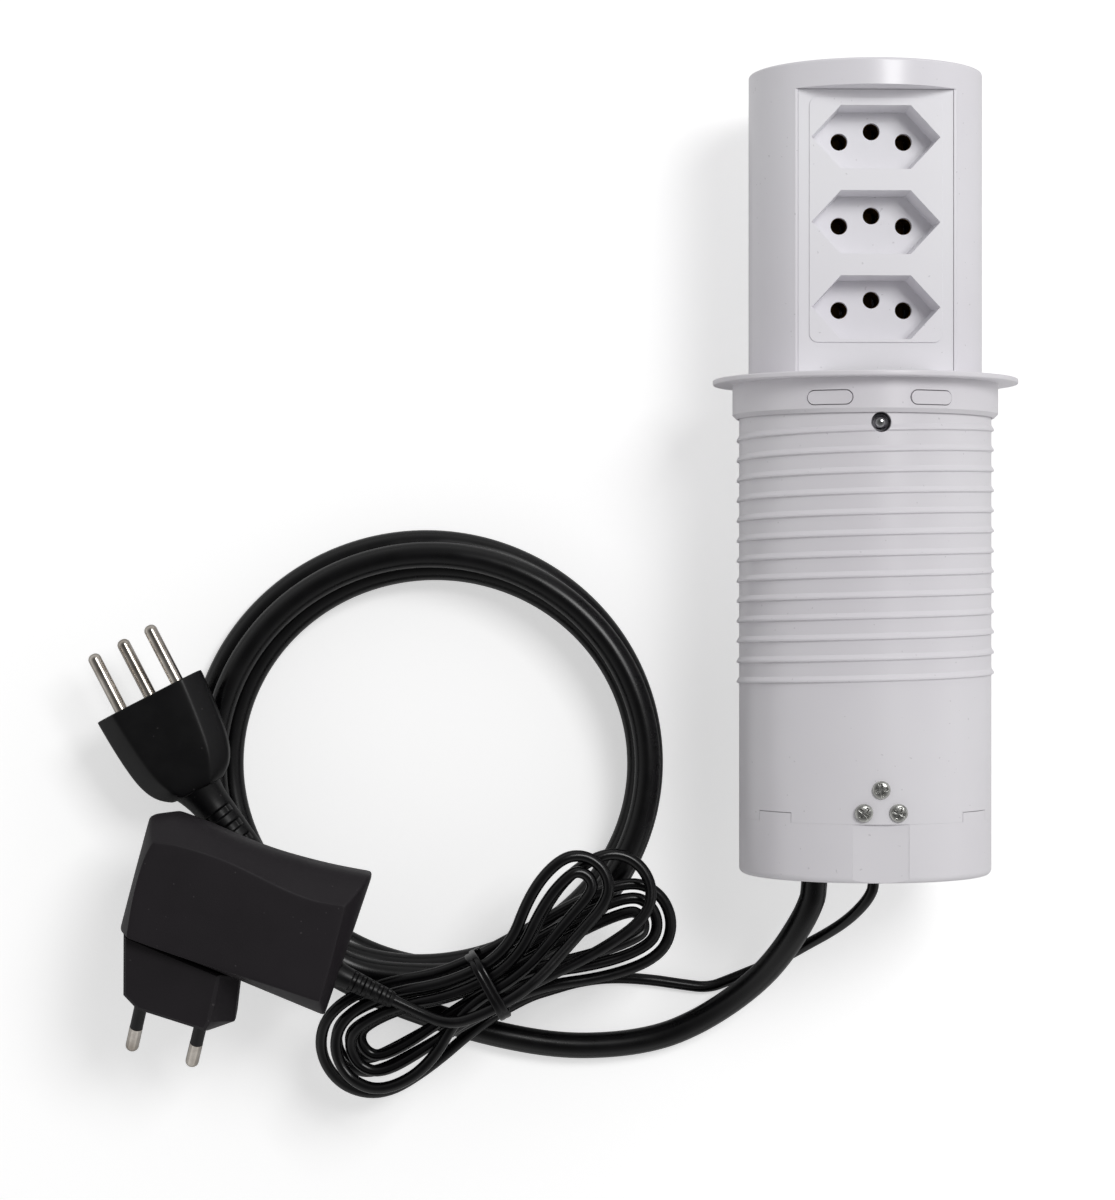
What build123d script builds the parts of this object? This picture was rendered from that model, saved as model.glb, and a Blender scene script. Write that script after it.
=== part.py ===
from build123d import *
import math
import os

os.makedirs("parts", exist_ok=True)

# All lengths are in millimetres. +Z is up, the tower's axis runs along +Y,
# the sockets face +Z, and the whole part lies on its side on the floor at z = 0.

# Threaded sleeve: the other rounds in and on it take their sizes from its radius
sleeve_radius = 37.5
sleeve_wall = 1.9
sleeve_bore_radius = sleeve_radius-sleeve_wall
sleeve_length = 128.6
seat_gap = 0.05
groove_deep = 0.5
groove_radius = sleeve_radius-groove_deep
groove_width = 6.4
groove_high = -8.0
groove_low_margin = 20.1
groove_low = groove_low_margin-sleeve_length
groove_cut_in = 1.0
thread_pitch = 6.0
thread_high = -11.4
thread_low_margin = 38.6
thread_turns = (sleeve_length+thread_high-thread_low_margin)/thread_pitch
thread_proud = 0.75
thread_base = 2.4
thread_crest = 0.5
thread_crest_shift = 0.55
thread_sink = 0.2

# Flange ring, its collar and the windows in it
collar_gap = 0.3
collar_wall = 1.7
collar_bore_radius = sleeve_radius+collar_gap
collar_radius = collar_bore_radius+collar_wall
collar_length = 10.1
collar_chamfer = 1.2
flange_wide = 5.9
flange_radius = collar_radius+flange_wide
flange_thick = 1.6
flange_rim_round = 0.5
flange_y = 26.6
lip_wide = 0.6
ring_bore_radius = sleeve_bore_radius-lip_wide
lip_length = 1.0
window_width = 13.7
window_height = 4.4
window_level = -5.8
window_gap = 0.25
window_angles = [22, -22, 158, -158]
lug_sunk = 0.2
lug_radius = collar_radius-lug_sunk

# Base cap, its screws and the anchor that holds the two cords
cap_length = 17.0
cap_bottom_thick = 2.2
cap_wall = 2.2
cap_round = 1.8
cap_flat_width = 16.3
cap_flat_depth = 1.0
spigot_gap = 0.1
spigot_radius = sleeve_bore_radius-spigot_gap
spigot_length = 8.0
spigot_wall = 1.6
tab_height = 2.8
tab_degrees = 20
tab_angles = [52, -52, 128, -128]
tab_gap = 0.15
sleeve_screw_x = 5.0
sleeve_screw_margin = 3.4
sleeve_screw_step = 6.6
sleeve_screw_low = sleeve_screw_margin-sleeve_length
sleeve_screw_high = sleeve_screw_low+sleeve_screw_step
sleeve_screws_at = [
    (0, sleeve_screw_high),
    (-sleeve_screw_x, sleeve_screw_low),
    (sleeve_screw_x, sleeve_screw_low),
]
screw_head_radius = 2.6
screw_head_thick = 1.1
screw_shank_radius = 1.2
screw_hole_radius = 1.35
screw_length = 8.0
cross_slot_long = 3.2
cross_slot_wide = 0.7
cross_slot_deep = 0.6
anchor_low_margin = 0.6
anchor_long = 14.0
anchor_low = anchor_low_margin-sleeve_length
anchor_high = anchor_low+anchor_long
anchor_plate_thick = 5.0
anchor_half_width = 9.0
anchor_front = sleeve_bore_radius-lip_wide
anchor_web_depth = 18.0
anchor_left = -25.0
anchor_right = 11.0
anchor_posts = [(-25.0, -17.9), (-6.5, -1.5)]
anchor_cradle_low = -24.0
anchor_cradle_high = -18.6
clamp_bar_low = -9.6
clamp_bar_thick = 4.0
clamp_bar_margin = 0.5
clamp_bar_long = 6.0
clamp_bar_low_level = anchor_low+clamp_bar_margin
clamp_bar_high_level = clamp_bar_low_level+clamp_bar_long
clamp_screws_x = [-21.0, -4.0]
clamp_screw_length = 14.0
grommet_collar = 1.6
grommet_flange = 1.4
grommet_long = 5.4
grommet_gap = 0.1

# Tower
tower_gap = 0.3
tower_radius = ring_bore_radius-tower_gap
tower_low = -1.3
tower_high = 92.4
tower_wall = 2.4
cap_band_long = 7.8
cap_band_low = tower_high-cap_band_long
top_thick = 3.0
brow_thick = 1.5
top_round = 0.8
front_flat_deep = 9.2
front_flat = tower_radius-front_flat_deep
panel_low = 2.3
strip_wide = 0.88
panel_half_width = math.sqrt(tower_radius**2-front_flat**2)-strip_wide
panel_thick = 2.4
panel_gap = 0.1
pad_side_margin = 3.25
pad_half_width = panel_half_width-pad_side_margin
pad_low_margin = 8.6
pad_high_margin = 2.5
pad_low = panel_low+pad_low_margin
pad_high = cap_band_low-pad_high_margin
pad_step = 0.3
pad_corner = 2.5
recess_pitch = 24.75
recess_high_margin = 11.5
recess_low_margin = 10.2
fit_slack = 0.01
recess_room = pad_high-pad_low-recess_high_margin-recess_low_margin
recess_count = 1+math.floor(recess_room/recess_pitch+fit_slack)
recess_levels = [pad_high-recess_high_margin-recess_pitch*place for place in range(recess_count)]
recess_half_length = 18.8
recess_half_flat = 10.2
recess_half_height = 9.25
recess_depth = 11.0
recess_draft_degrees = 3.0
recess_wall = 1.5
recess_floor_thick = 2.0
pin_hole_radius = 2.5
pin_spread = 9.5
earth_offset = 3.07
contact_radius = 3.3
contact_bore_radius = 2.3
contact_gap = 0.1
bus_width = 3.0
bus_thick = 0.8
carrier_side_margin = 3.15
carrier_half_width = panel_half_width-carrier_side_margin
carrier_thick = 9.3
carrier_low_margin = 2.9
carrier_high_margin = 0.9
carrier_low = recess_levels[-1]-recess_low_margin-carrier_low_margin
carrier_high = pad_high+carrier_high_margin
post_x = 16.5
post_levels = [level-recess_pitch/2 for level in recess_levels[:-1]]
post_radius = 2.6
post_hole_radius = 1.3
carrier_screw_length = 14.0
top_rim_wide = 6.7
top_recess_radius = tower_radius-top_rim_wide
top_recess_depth = 1.0
coil_inner = 9.0
coil_outer = 21.0
coil_thick = 1.0
board_half_width = 20.0
board_back = -22.0
board_front = 17.0
board_thick = 1.6
board_drop = 4.8
board_level = tower_high-top_thick-board_drop
board_post_x = 15.0
board_post_depth = -12.0
board_post_radius = 2.5
board_post_gap = 0.2

# Tower foot
foot_spigot_length = 6.0
foot_gap = 0.3
foot_wall = 3.2
foot_spigot_gap = 0.1
foot_spigot_wall = 1.6
foot_radius = sleeve_bore_radius-foot_gap
foot_bore_radius = foot_radius-foot_wall
foot_spigot_radius = foot_bore_radius-foot_spigot_gap
spigot_bore_radius = foot_spigot_radius-foot_spigot_wall
foot_low = -20.0
friction_groove_deep = 1.7
friction_gap = 0.08
friction_groove_radius = foot_radius-friction_groove_deep
friction_ring_radius = sleeve_bore_radius-friction_gap
friction_ring_high = -3.2
friction_ring_low = -7.2
bottom_plate_thick = 2.0
foot_post_inset = 4.1
foot_post_x = foot_bore_radius-foot_post_inset
foot_post_radius = 4.4
foot_post_length = 9.0
boss_radius = 4.6
boss_cut_in = 1.0
ball_level = -12.9
ball_hole_radius = 2.9
ball_radius = 2.75
ball_sunk = 1.3
ball_centre = foot_radius-ball_sunk
spring_coil_radius = 2.0
spring_wire = 0.35
spring_turns = 6
spring_gap = 0.15
spring_long = 5.7
plug_behind = 4.2
boss_behind = 0.2
spring_high = ball_centre-ball_radius-spring_gap
spring_low = spring_high-spring_long
plug_low = spring_low-plug_behind
boss_depth = plug_low-boss_behind
gland_bore = 3.4
gland_radius = 5.0
gland_flange = 6.5
gland_long = 5.0
gland_flange_thick = 1.2
lead_radius = 0.9
lead_bend = 3.0
lead_spread = 1.5
lead_drop = 10.0
service_radius = 2.6

# Cords
mains_radius = 4.0
thin_radius = 1.75
mains_exit_x = -13.0
thin_exit_x = 5.0
exit_depth = -14.0
cord_lead = 12.0
thin_lead = 7.0
bend_share = 0.45
axis_height = flange_radius
sleeve_low = -sleeve_length
cap_low = sleeve_low-cap_length

tower_axis = Axis((0, flange_y, axis_height), (0, 1, 0))
section = Plane((0, flange_y, axis_height))


def cross(level):
    """A plane across the tower's axis, with +y to the front and +z to the base."""
    return Plane(origin=(0, flange_y+level, axis_height), x_dir=(1, 0, 0), z_dir=(0, -1, 0))


def front(depth):
    """A plane that faces the front, at a depth in front of the axis, with +y along the axis."""
    return section.offset(depth)


def radial_plane(angle, radius, level):
    """A plane on the tower's side, at an angle from the front, with +y along the axis."""
    turn = math.radians(angle)
    outward = Vector(math.sin(turn), 0, math.cos(turn))
    origin = Vector(0, flange_y+level, axis_height)+outward*radius
    return Plane(origin=origin, x_dir=(math.cos(turn), 0, -math.sin(turn)), z_dir=outward)


def save(builder, name):
    """Label a node's shape and write its file."""
    builder.part.label = name
    export_step(builder.part, f"parts/{name}.step")


def disc(outer, low, high, mode=Mode.ADD):
    """A plain cylinder about the tower's axis between two levels."""
    with BuildSketch(cross(high)) as profile:
        Circle(outer)
    extrude(profile.sketch, amount=high-low, mode=mode)


def ring(inner, outer, low, high, mode=Mode.ADD):
    """A plain ring about the tower's axis between two levels."""
    with BuildSketch(cross(high)) as profile:
        Circle(outer)
        Circle(inner, mode=Mode.SUBTRACT)
    extrude(profile.sketch, amount=high-low, mode=mode)


def block(x_low, x_high, low, high, depth_low, depth_high, mode=Mode.ADD):
    """A box from its limits across the tower, along its axis and in depth."""
    middle = ((x_low+x_high)/2, flange_y+(low+high)/2, axis_height+(depth_low+depth_high)/2)
    with Locations(middle):
        Box(x_high-x_low, high-low, depth_high-depth_low, mode=mode)


def rod(plane, radius, length, mode=Mode.ADD):
    """A cylinder that stands on a plane."""
    with BuildSketch(plane) as profile:
        Circle(radius)
    extrude(profile.sketch, amount=length, mode=mode)


def bar(plane, length, width, height, mode=Mode.ADD):
    """A rectangular bar that stands on a plane."""
    with BuildSketch(plane) as profile:
        Rectangle(length, width)
    extrude(profile.sketch, amount=height, mode=mode)


def at(plane, x, y):
    """A plane moved along itself."""
    return Plane(origin=plane.from_local_coords((x, y, 0)), x_dir=plane.x_dir, z_dir=plane.z_dir)


def screw(plane, length, head_radius=screw_head_radius, shank_radius=screw_shank_radius):
    """A pan head screw with a cross slot: its head stands on a plane, its shank goes below it."""
    rod(plane, head_radius, screw_head_thick)
    rod(plane, shank_radius, -length)
    slot_plane = plane.offset(screw_head_thick-cross_slot_deep)
    bar(slot_plane, cross_slot_long, cross_slot_wide, cross_slot_deep, mode=Mode.SUBTRACT)
    bar(slot_plane, cross_slot_wide, cross_slot_long, cross_slot_deep, mode=Mode.SUBTRACT)


def sector(inner, outer, middle_angle, degrees, low, high, mode=Mode.ADD):
    """A piece of a ring about the tower's axis, at an angle from the front."""
    edges = [math.radians(middle_angle-degrees/2), math.radians(middle_angle+degrees/2)]
    middle = math.radians(middle_angle)

    def rim(radius, turn):
        return (radius*math.sin(turn), radius*math.cos(turn))

    with BuildSketch(cross(high)) as profile:
        with BuildLine():
            ThreePointArc(rim(outer, edges[0]), rim(outer, middle), rim(outer, edges[1]))
            Line(rim(outer, edges[1]), rim(inner, edges[1]))
            ThreePointArc(rim(inner, edges[1]), rim(inner, middle), rim(inner, edges[0]))
            Line(rim(inner, edges[0]), rim(outer, edges[0]))
        make_face()
    extrude(profile.sketch, amount=high-low, mode=mode)


def tube(route, turns, radius, mode=Mode.ADD):
    """A round tube along straight runs joined by arcs; prints its length."""
    with BuildLine() as path:
        FilletPolyline(*route, radius=turns)
    with BuildSketch(Plane(origin=path.line @ 0, z_dir=path.line % 0)) as profile:
        Circle(radius)
    sweep(profile.sketch, path=path.line, transition=Transition.RIGHT, mode=mode)
    return sum(edge.length for edge in path.edges())


def bend_radii(route):
    """The arc radius at each inner point of a route, from its shorter run and its turn."""
    points = [Vector(*point) for point in route]
    radii = []
    for before, here, after in zip(points, points[1:], points[2:]):
        turn = math.radians((here-before).get_angle(after-here))
        shorter = min((here-before).length, (after-here).length)
        radii.append(bend_share*shorter/math.tan(turn/2))
    return radii


# Flange ring with its collar
with BuildPart() as flange_ring:
    with BuildSketch(section):
        with BuildLine():
            Polyline(
                (ring_bore_radius, -lip_length),
                (ring_bore_radius, flange_thick),
                (flange_radius, flange_thick),
                (flange_radius, 0),
                (collar_radius, 0),
                (collar_radius, collar_chamfer-collar_length),
                (collar_radius-collar_chamfer, -collar_length),
                (collar_bore_radius, -collar_length),
                (collar_bore_radius, 0),
                (sleeve_bore_radius-seat_gap, 0),
                (sleeve_bore_radius-seat_gap, -lip_length),
                close=True,
            )
        make_face()
    revolve(axis=tower_axis)
    rim_edges = [
        edge for edge in flange_ring.edges().filter_by(GeomType.CIRCLE)
        if abs(edge.radius-flange_radius) < seat_gap
    ]
    fillet(rim_edges, flange_rim_round)
    for angle in window_angles:
        with BuildSketch(radial_plane(angle, sleeve_bore_radius, window_level)):
            SlotOverall(window_width, window_height)
        extrude(amount=flange_radius-sleeve_bore_radius, mode=Mode.SUBTRACT)
    rod(radial_plane(0, sleeve_bore_radius, ball_level), ball_hole_radius+seat_gap,
        flange_radius-sleeve_bore_radius, mode=Mode.SUBTRACT)
save(flange_ring, "flange_ring")

# Threaded sleeve: the thread is swept along a helix and the tube is fused to it
helix_start = cross(thread_high)
with BuildPart() as threaded_sleeve:
    with BuildLine() as thread_path:
        Helix(
            thread_pitch,
            thread_pitch*thread_turns,
            sleeve_radius-thread_sink,
            center=helix_start.origin,
            direction=helix_start.z_dir,
        )
    thread_start = thread_path.line @ 0
    outward = (thread_start-helix_start.origin).normalized()
    along = Vector(0, 1, 0)
    with BuildSketch(Plane(origin=thread_start, x_dir=outward, z_dir=outward.cross(along))):
        with BuildLine():
            Polyline(
                (0, -thread_base/2),
                (thread_proud+thread_sink, -thread_crest_shift-thread_crest/2),
                (thread_proud+thread_sink, -thread_crest_shift+thread_crest/2),
                (0, thread_base/2),
                close=True,
            )
        make_face()
    sweep(path=thread_path.line, is_frenet=True)
    disc(sleeve_radius, sleeve_low, 0)
    for angle in window_angles:
        with BuildSketch(radial_plane(angle, sleeve_bore_radius, window_level)):
            SlotOverall(window_width-2*window_gap, window_height-2*window_gap)
        extrude(amount=lug_radius-sleeve_bore_radius)
    disc(sleeve_bore_radius, sleeve_low, 0, mode=Mode.SUBTRACT)
    groove_degrees = math.degrees(groove_width/groove_radius)
    sector(sleeve_bore_radius-groove_cut_in, groove_radius, 0, groove_degrees, groove_low, groove_high,
           mode=Mode.SUBTRACT)
    rod(radial_plane(0, 0, ball_level), ball_hole_radius, flange_radius, mode=Mode.SUBTRACT)
    for x, level in sleeve_screws_at:
        rod(at(front(0), x, level), screw_hole_radius, flange_radius, mode=Mode.SUBTRACT)
    for angle in tab_angles:
        notch_high = sleeve_low+tab_height+tab_gap
        notch_degrees = tab_degrees+math.degrees(2*tab_gap/sleeve_radius)
        sector(foot_radius, flange_radius, angle, notch_degrees, sleeve_low, notch_high, mode=Mode.SUBTRACT)
save(threaded_sleeve, "threaded_sleeve")

# Base cap with its spigot, snap tabs and flat front
with BuildPart() as base_cap:
    disc(sleeve_radius, cap_low, sleeve_low)
    bottom_edges = base_cap.edges().group_by(Axis.Y)[0]
    fillet(bottom_edges, cap_round)
    disc(sleeve_radius-cap_wall, cap_low+cap_bottom_thick, sleeve_low, mode=Mode.SUBTRACT)
    ring(spigot_radius-spigot_wall, sleeve_radius-seat_gap, sleeve_low-spigot_wall, sleeve_low)
    ring(spigot_radius-spigot_wall, spigot_radius, sleeve_low, sleeve_low+spigot_length)
    for angle in tab_angles:
        sector(spigot_radius-seat_gap, sleeve_radius, angle, tab_degrees, sleeve_low, sleeve_low+tab_height)
    flat_half = cap_flat_width/2
    block(-flat_half, flat_half, cap_low, sleeve_low, sleeve_radius-cap_flat_depth, flange_radius,
          mode=Mode.SUBTRACT)
    notch_half = anchor_half_width+grommet_gap
    block(-notch_half, notch_half, sleeve_low-spigot_wall, sleeve_low+spigot_length,
          anchor_web_depth, sleeve_radius-cap_wall, mode=Mode.SUBTRACT)
    for x, radius in [(mains_exit_x, mains_radius), (thin_exit_x, thin_radius)]:
        hole_radius = radius+grommet_collar+grommet_gap
        rod(at(cross(sleeve_low), x, exit_depth), hole_radius, cap_length, mode=Mode.SUBTRACT)
save(base_cap, "base_cap")

# Three screws hold the anchor to the sleeve's front
with BuildPart() as sleeve_screws:
    for x, level in sleeve_screws_at:
        screw(at(front(sleeve_radius), x, level), screw_length)
save(sleeve_screws, "sleeve_screws")

# Anchor in the sleeve's lower end, with a cradle for the two cords
with BuildPart() as cord_anchor:
    block(anchor_left, anchor_right, anchor_high-anchor_plate_thick, anchor_high,
          anchor_cradle_low, anchor_web_depth)
    block(anchor_left, anchor_right, anchor_low, anchor_high, anchor_cradle_low, anchor_cradle_high)
    for post_left, post_right in anchor_posts:
        block(post_left, post_right, anchor_low, anchor_high, anchor_cradle_high,
              clamp_bar_low-grommet_gap)
    disc(spigot_radius-spigot_wall-grommet_gap, anchor_low, anchor_high, mode=Mode.INTERSECT)
    block(-anchor_half_width, anchor_half_width, anchor_low, anchor_high, anchor_web_depth, anchor_front)
    disc(sleeve_bore_radius-seat_gap, anchor_low, anchor_high, mode=Mode.INTERSECT)
    for x, radius in [(mains_exit_x, mains_radius), (thin_exit_x, thin_radius)]:
        rod(at(cross(anchor_high), x, exit_depth), radius+grommet_gap, cap_length, mode=Mode.SUBTRACT)
    rod(cross(anchor_high), service_radius+grommet_gap, cap_length, mode=Mode.SUBTRACT)
    for x, level in sleeve_screws_at:
        rod(at(front(anchor_front-screw_length), x, level), screw_shank_radius+seat_gap, screw_length*2,
            mode=Mode.SUBTRACT)
    for x in clamp_screws_x:
        hole_plane = at(front(anchor_cradle_low), x, (clamp_bar_high_level+clamp_bar_low_level)/2)
        rod(hole_plane, screw_shank_radius+seat_gap, clamp_screw_length+screw_length, mode=Mode.SUBTRACT)
save(cord_anchor, "cord_anchor")

# Bar that presses the cords into the cradle
with BuildPart() as anchor_clamp_bar:
    bar_high = clamp_bar_low+clamp_bar_thick
    block(anchor_left+cap_wall, anchor_right-cap_wall, clamp_bar_low_level, clamp_bar_high_level,
          clamp_bar_low, bar_high)
    for x in clamp_screws_x:
        hole_plane = at(front(clamp_bar_low), x, (clamp_bar_high_level+clamp_bar_low_level)/2)
        rod(hole_plane, screw_hole_radius, clamp_bar_thick, mode=Mode.SUBTRACT)
save(anchor_clamp_bar, "anchor_clamp_bar")

with BuildPart() as anchor_clamp_screws:
    for x in clamp_screws_x:
        head_plane = at(front(clamp_bar_low+clamp_bar_thick), x,
                        (clamp_bar_high_level+clamp_bar_low_level)/2)
        screw(head_plane, clamp_screw_length)
save(anchor_clamp_screws, "anchor_clamp_screws")

# Grommets where the cords leave the cap's end
for name, x, radius in [
    ("mains_grommet", mains_exit_x, mains_radius),
    ("adapter_grommet", thin_exit_x, thin_radius),
]:
    with BuildPart() as grommet:
        outside = at(cross(cap_low-grommet_flange), x, exit_depth)
        inside = at(cross(cap_low+grommet_long), x, exit_depth)
        collar_ring = radius+grommet_collar
        rod(inside, collar_ring, grommet_long+grommet_flange)
        rod(outside, collar_ring+grommet_flange, -grommet_flange)
        rod(inside, radius+seat_gap, grommet_long+grommet_flange, mode=Mode.SUBTRACT)
    save(grommet, name)

# Tower shell: a round tube, open at the front for the socket panel, closed at the top
panel_back = front_flat-pad_step-panel_thick
with BuildPart() as tower_shell:
    disc(tower_radius, tower_low, tower_high)
    top_edges = tower_shell.edges().group_by(Axis.Y)[-1]
    fillet(top_edges, top_round)
    bore_radius = tower_radius-tower_wall
    disc(bore_radius, panel_low, tower_high-top_thick, mode=Mode.SUBTRACT)
    disc(spigot_bore_radius, tower_low, panel_low, mode=Mode.SUBTRACT)
    ring(spigot_bore_radius, foot_spigot_radius, tower_low-foot_spigot_length, tower_low)
    block(-flange_radius, flange_radius, panel_low, cap_band_low, front_flat, flange_radius,
          mode=Mode.SUBTRACT)
    opening_half = panel_half_width+panel_gap
    block(-opening_half, opening_half, panel_low, cap_band_low, panel_back-panel_gap, flange_radius,
          mode=Mode.SUBTRACT)
    with BuildSketch(cross(cap_band_low+brow_thick)) as brow:
        Circle(bore_radius+seat_gap)
        with Locations((0, panel_back-panel_gap-flange_radius)):
            Rectangle(2*flange_radius, 2*flange_radius, mode=Mode.SUBTRACT)
    extrude(brow.sketch, amount=brow_thick)
    rod(cross(tower_high), top_recess_radius, top_recess_depth, mode=Mode.SUBTRACT)
    for x in (-board_post_x, board_post_x):
        post_length = tower_high-top_thick-board_level-board_thick
        rod(at(cross(tower_high-top_thick), x, board_post_depth), board_post_radius, post_length)
save(tower_shell, "tower_shell")

# Charging pad on the top, the coil under it and its board
with BuildPart() as charging_pad:
    rod(cross(tower_high), top_recess_radius-panel_gap, top_recess_depth)
save(charging_pad, "charging_pad")

with BuildPart() as charging_coil:
    coil_level = tower_high-top_thick-seat_gap
    ring(coil_inner, coil_outer, coil_level-coil_thick, coil_level)
    for x in (-board_post_x, board_post_x):
        rod(at(cross(coil_level), x, board_post_depth), board_post_radius+board_post_gap, coil_thick,
            mode=Mode.SUBTRACT)
save(charging_coil, "charging_coil")

with BuildPart() as charger_board:
    block(-board_half_width, board_half_width, board_level, board_level+board_thick,
          board_back, board_front)
save(charger_board, "charger_board")


def hexagon(grow):
    """The corners of a recess outline, grown by a wall."""
    return [
        (-recess_half_length-grow, 0),
        (-recess_half_flat-grow/2, -recess_half_height-grow),
        (recess_half_flat+grow/2, -recess_half_height-grow),
        (recess_half_length+grow, 0),
        (recess_half_flat+grow/2, recess_half_height+grow),
        (-recess_half_flat-grow/2, recess_half_height+grow),
    ]


# Socket panel with its raised pad and three recesses
pin_places = []
for level in recess_levels:
    pin_places += [(-pin_spread, level), (pin_spread, level), (0, level+earth_offset)]
recess_floor = front_flat-recess_depth
well_back = recess_floor-recess_floor_thick
with BuildPart() as socket_panel:
    block(-panel_half_width, panel_half_width, panel_low+panel_gap, cap_band_low-panel_gap,
          panel_back, front_flat-pad_step)
    pad_middle = (pad_low+pad_high)/2
    with BuildSketch(at(front(panel_back), 0, pad_middle)):
        RectangleRounded(2*pad_half_width, pad_high-pad_low, pad_corner)
    extrude(amount=front_flat-panel_back)
    for level in recess_levels:
        with BuildSketch(at(front(well_back), 0, level)):
            Polygon(*hexagon(recess_wall), align=None)
        extrude(amount=panel_back-well_back)
    for x in (-post_x, post_x):
        for level in post_levels:
            rod(at(front(well_back), x, level), post_radius, panel_back-well_back)
    for level in recess_levels:
        with BuildSketch(at(front(front_flat), 0, level)):
            Polygon(*hexagon(0), align=None)
        extrude(amount=-recess_depth, taper=recess_draft_degrees, mode=Mode.SUBTRACT)
    for x, level in pin_places:
        rod(at(front(well_back), x, level), pin_hole_radius, recess_floor_thick, mode=Mode.SUBTRACT)
    for x in (-post_x, post_x):
        for level in post_levels:
            rod(at(front(well_back), x, level), post_hole_radius, recess_floor_thick+panel_thick,
                mode=Mode.SUBTRACT)
save(socket_panel, "socket_panel")

# Contact carrier behind the panel, with a bore for each contact
carrier_front = well_back
carrier_back = carrier_front-carrier_thick
with BuildPart() as contact_carrier:
    block(-carrier_half_width, carrier_half_width, carrier_low, carrier_high, carrier_back, carrier_front)
    for x, level in pin_places:
        rod(at(front(carrier_back), x, level), contact_radius+contact_gap, carrier_thick,
            mode=Mode.SUBTRACT)
    for x in (-post_x, post_x):
        for level in post_levels:
            rod(at(front(carrier_back), x, level), post_hole_radius, carrier_thick, mode=Mode.SUBTRACT)
save(contact_carrier, "contact_carrier")

# Sleeves that the plug's pins go into, joined by a bus bar behind the carrier
contact_front = carrier_front-contact_gap
contact_back = carrier_back-contact_gap
for name, x, shift in [
    ("line_contacts", -pin_spread, 0),
    ("neutral_contacts", pin_spread, 0),
    ("earth_contacts", 0, earth_offset),
]:
    with BuildPart() as contacts:
        for level in recess_levels:
            rod(at(front(contact_back), x, level+shift), contact_radius, contact_front-contact_back)
        block(x-bus_width/2, x+bus_width/2, recess_levels[-1]-contact_radius+shift,
              recess_levels[0]+contact_radius+shift, contact_back-bus_thick, contact_back)
        for level in recess_levels:
            rod(at(front(contact_back), x, level+shift), contact_bore_radius,
                contact_front-contact_back, mode=Mode.SUBTRACT)
    save(contacts, name)

with BuildPart() as carrier_screws:
    for x in (-post_x, post_x):
        for level in post_levels:
            head_plane = Plane(
                origin=at(front(carrier_back), x, level).origin, x_dir=(1, 0, 0), z_dir=(0, 0, -1))
            screw(head_plane, carrier_screw_length-screw_head_thick)
save(carrier_screws, "carrier_screws")

# Tower foot: it slides in the sleeve and holds the ball that locks the tower up
foot_high = tower_low
plate_high = foot_low+bottom_plate_thick
with BuildPart() as tower_foot:
    ring(foot_bore_radius, foot_radius, foot_low, foot_high)
    ring(spigot_bore_radius, foot_bore_radius, foot_low+bottom_plate_thick,
         tower_low-foot_spigot_length-panel_gap)
    rod(radial_plane(0, boss_depth, ball_level), boss_radius, foot_bore_radius+boss_cut_in-boss_depth)
    ring(friction_groove_radius, flange_radius, friction_ring_low-seat_gap,
         friction_ring_high+seat_gap, mode=Mode.SUBTRACT)
    rod(radial_plane(0, 0, ball_level), ball_hole_radius, flange_radius, mode=Mode.SUBTRACT)
    for x in (-foot_post_x, foot_post_x):
        post_plane = at(cross(plate_high+foot_post_length), x, 0)
        rod(post_plane, foot_post_radius, foot_post_length)
        rod(post_plane, post_hole_radius, foot_post_length, mode=Mode.SUBTRACT)
save(tower_foot, "tower_foot")

with BuildPart() as friction_ring:
    ring(friction_groove_radius+seat_gap, friction_ring_radius, friction_ring_low, friction_ring_high)
save(friction_ring, "friction_ring")

# Plate that closes the foot, its screws and the gland for the leads
with BuildPart() as bottom_plate:
    disc(foot_bore_radius-seat_gap, foot_low, plate_high)
    rod(cross(plate_high), gland_radius+seat_gap, bottom_plate_thick, mode=Mode.SUBTRACT)
    for x in (-foot_post_x, foot_post_x):
        rod(at(cross(plate_high), x, 0), screw_hole_radius, bottom_plate_thick, mode=Mode.SUBTRACT)
save(bottom_plate, "bottom_plate")

with BuildPart() as foot_screws:
    for x in (-foot_post_x, foot_post_x):
        screw(at(cross(foot_low), x, 0), screw_length)
save(foot_screws, "foot_screws")

gland_high = plate_high+gland_long/2
gland_low = foot_low-gland_flange_thick
with BuildPart() as tower_gland:
    rod(cross(gland_high), gland_radius, gland_high-gland_low)
    ring(gland_bore, gland_flange, gland_low, foot_low)
    ring(gland_bore, gland_flange, plate_high, plate_high+gland_flange_thick)
    rod(cross(gland_high), gland_bore, gland_high-gland_low, mode=Mode.SUBTRACT)
save(tower_gland, "tower_gland")

# Spring behind the ball and the plug that closes its bore
with BuildPart() as detent_plug:
    rod(radial_plane(0, plug_low, ball_level), ball_hole_radius-seat_gap, spring_low-plug_low-spring_wire)
save(detent_plug, "detent_plug")

spring_base = radial_plane(0, spring_low, ball_level)
with BuildPart() as detent_spring:
    with BuildLine(spring_base) as spring_path:
        Helix((spring_high-spring_low)/spring_turns, spring_high-spring_low, spring_coil_radius)
    with BuildSketch(Plane(origin=spring_path.line @ 0, z_dir=spring_path.line % 0)):
        Circle(spring_wire)
    sweep(path=spring_path.line, is_frenet=True)
save(detent_spring, "detent_spring")

with BuildPart() as detent_ball:
    with Locations(radial_plane(0, ball_centre, ball_level).origin):
        Sphere(ball_radius)
save(detent_ball, "detent_ball")

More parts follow.
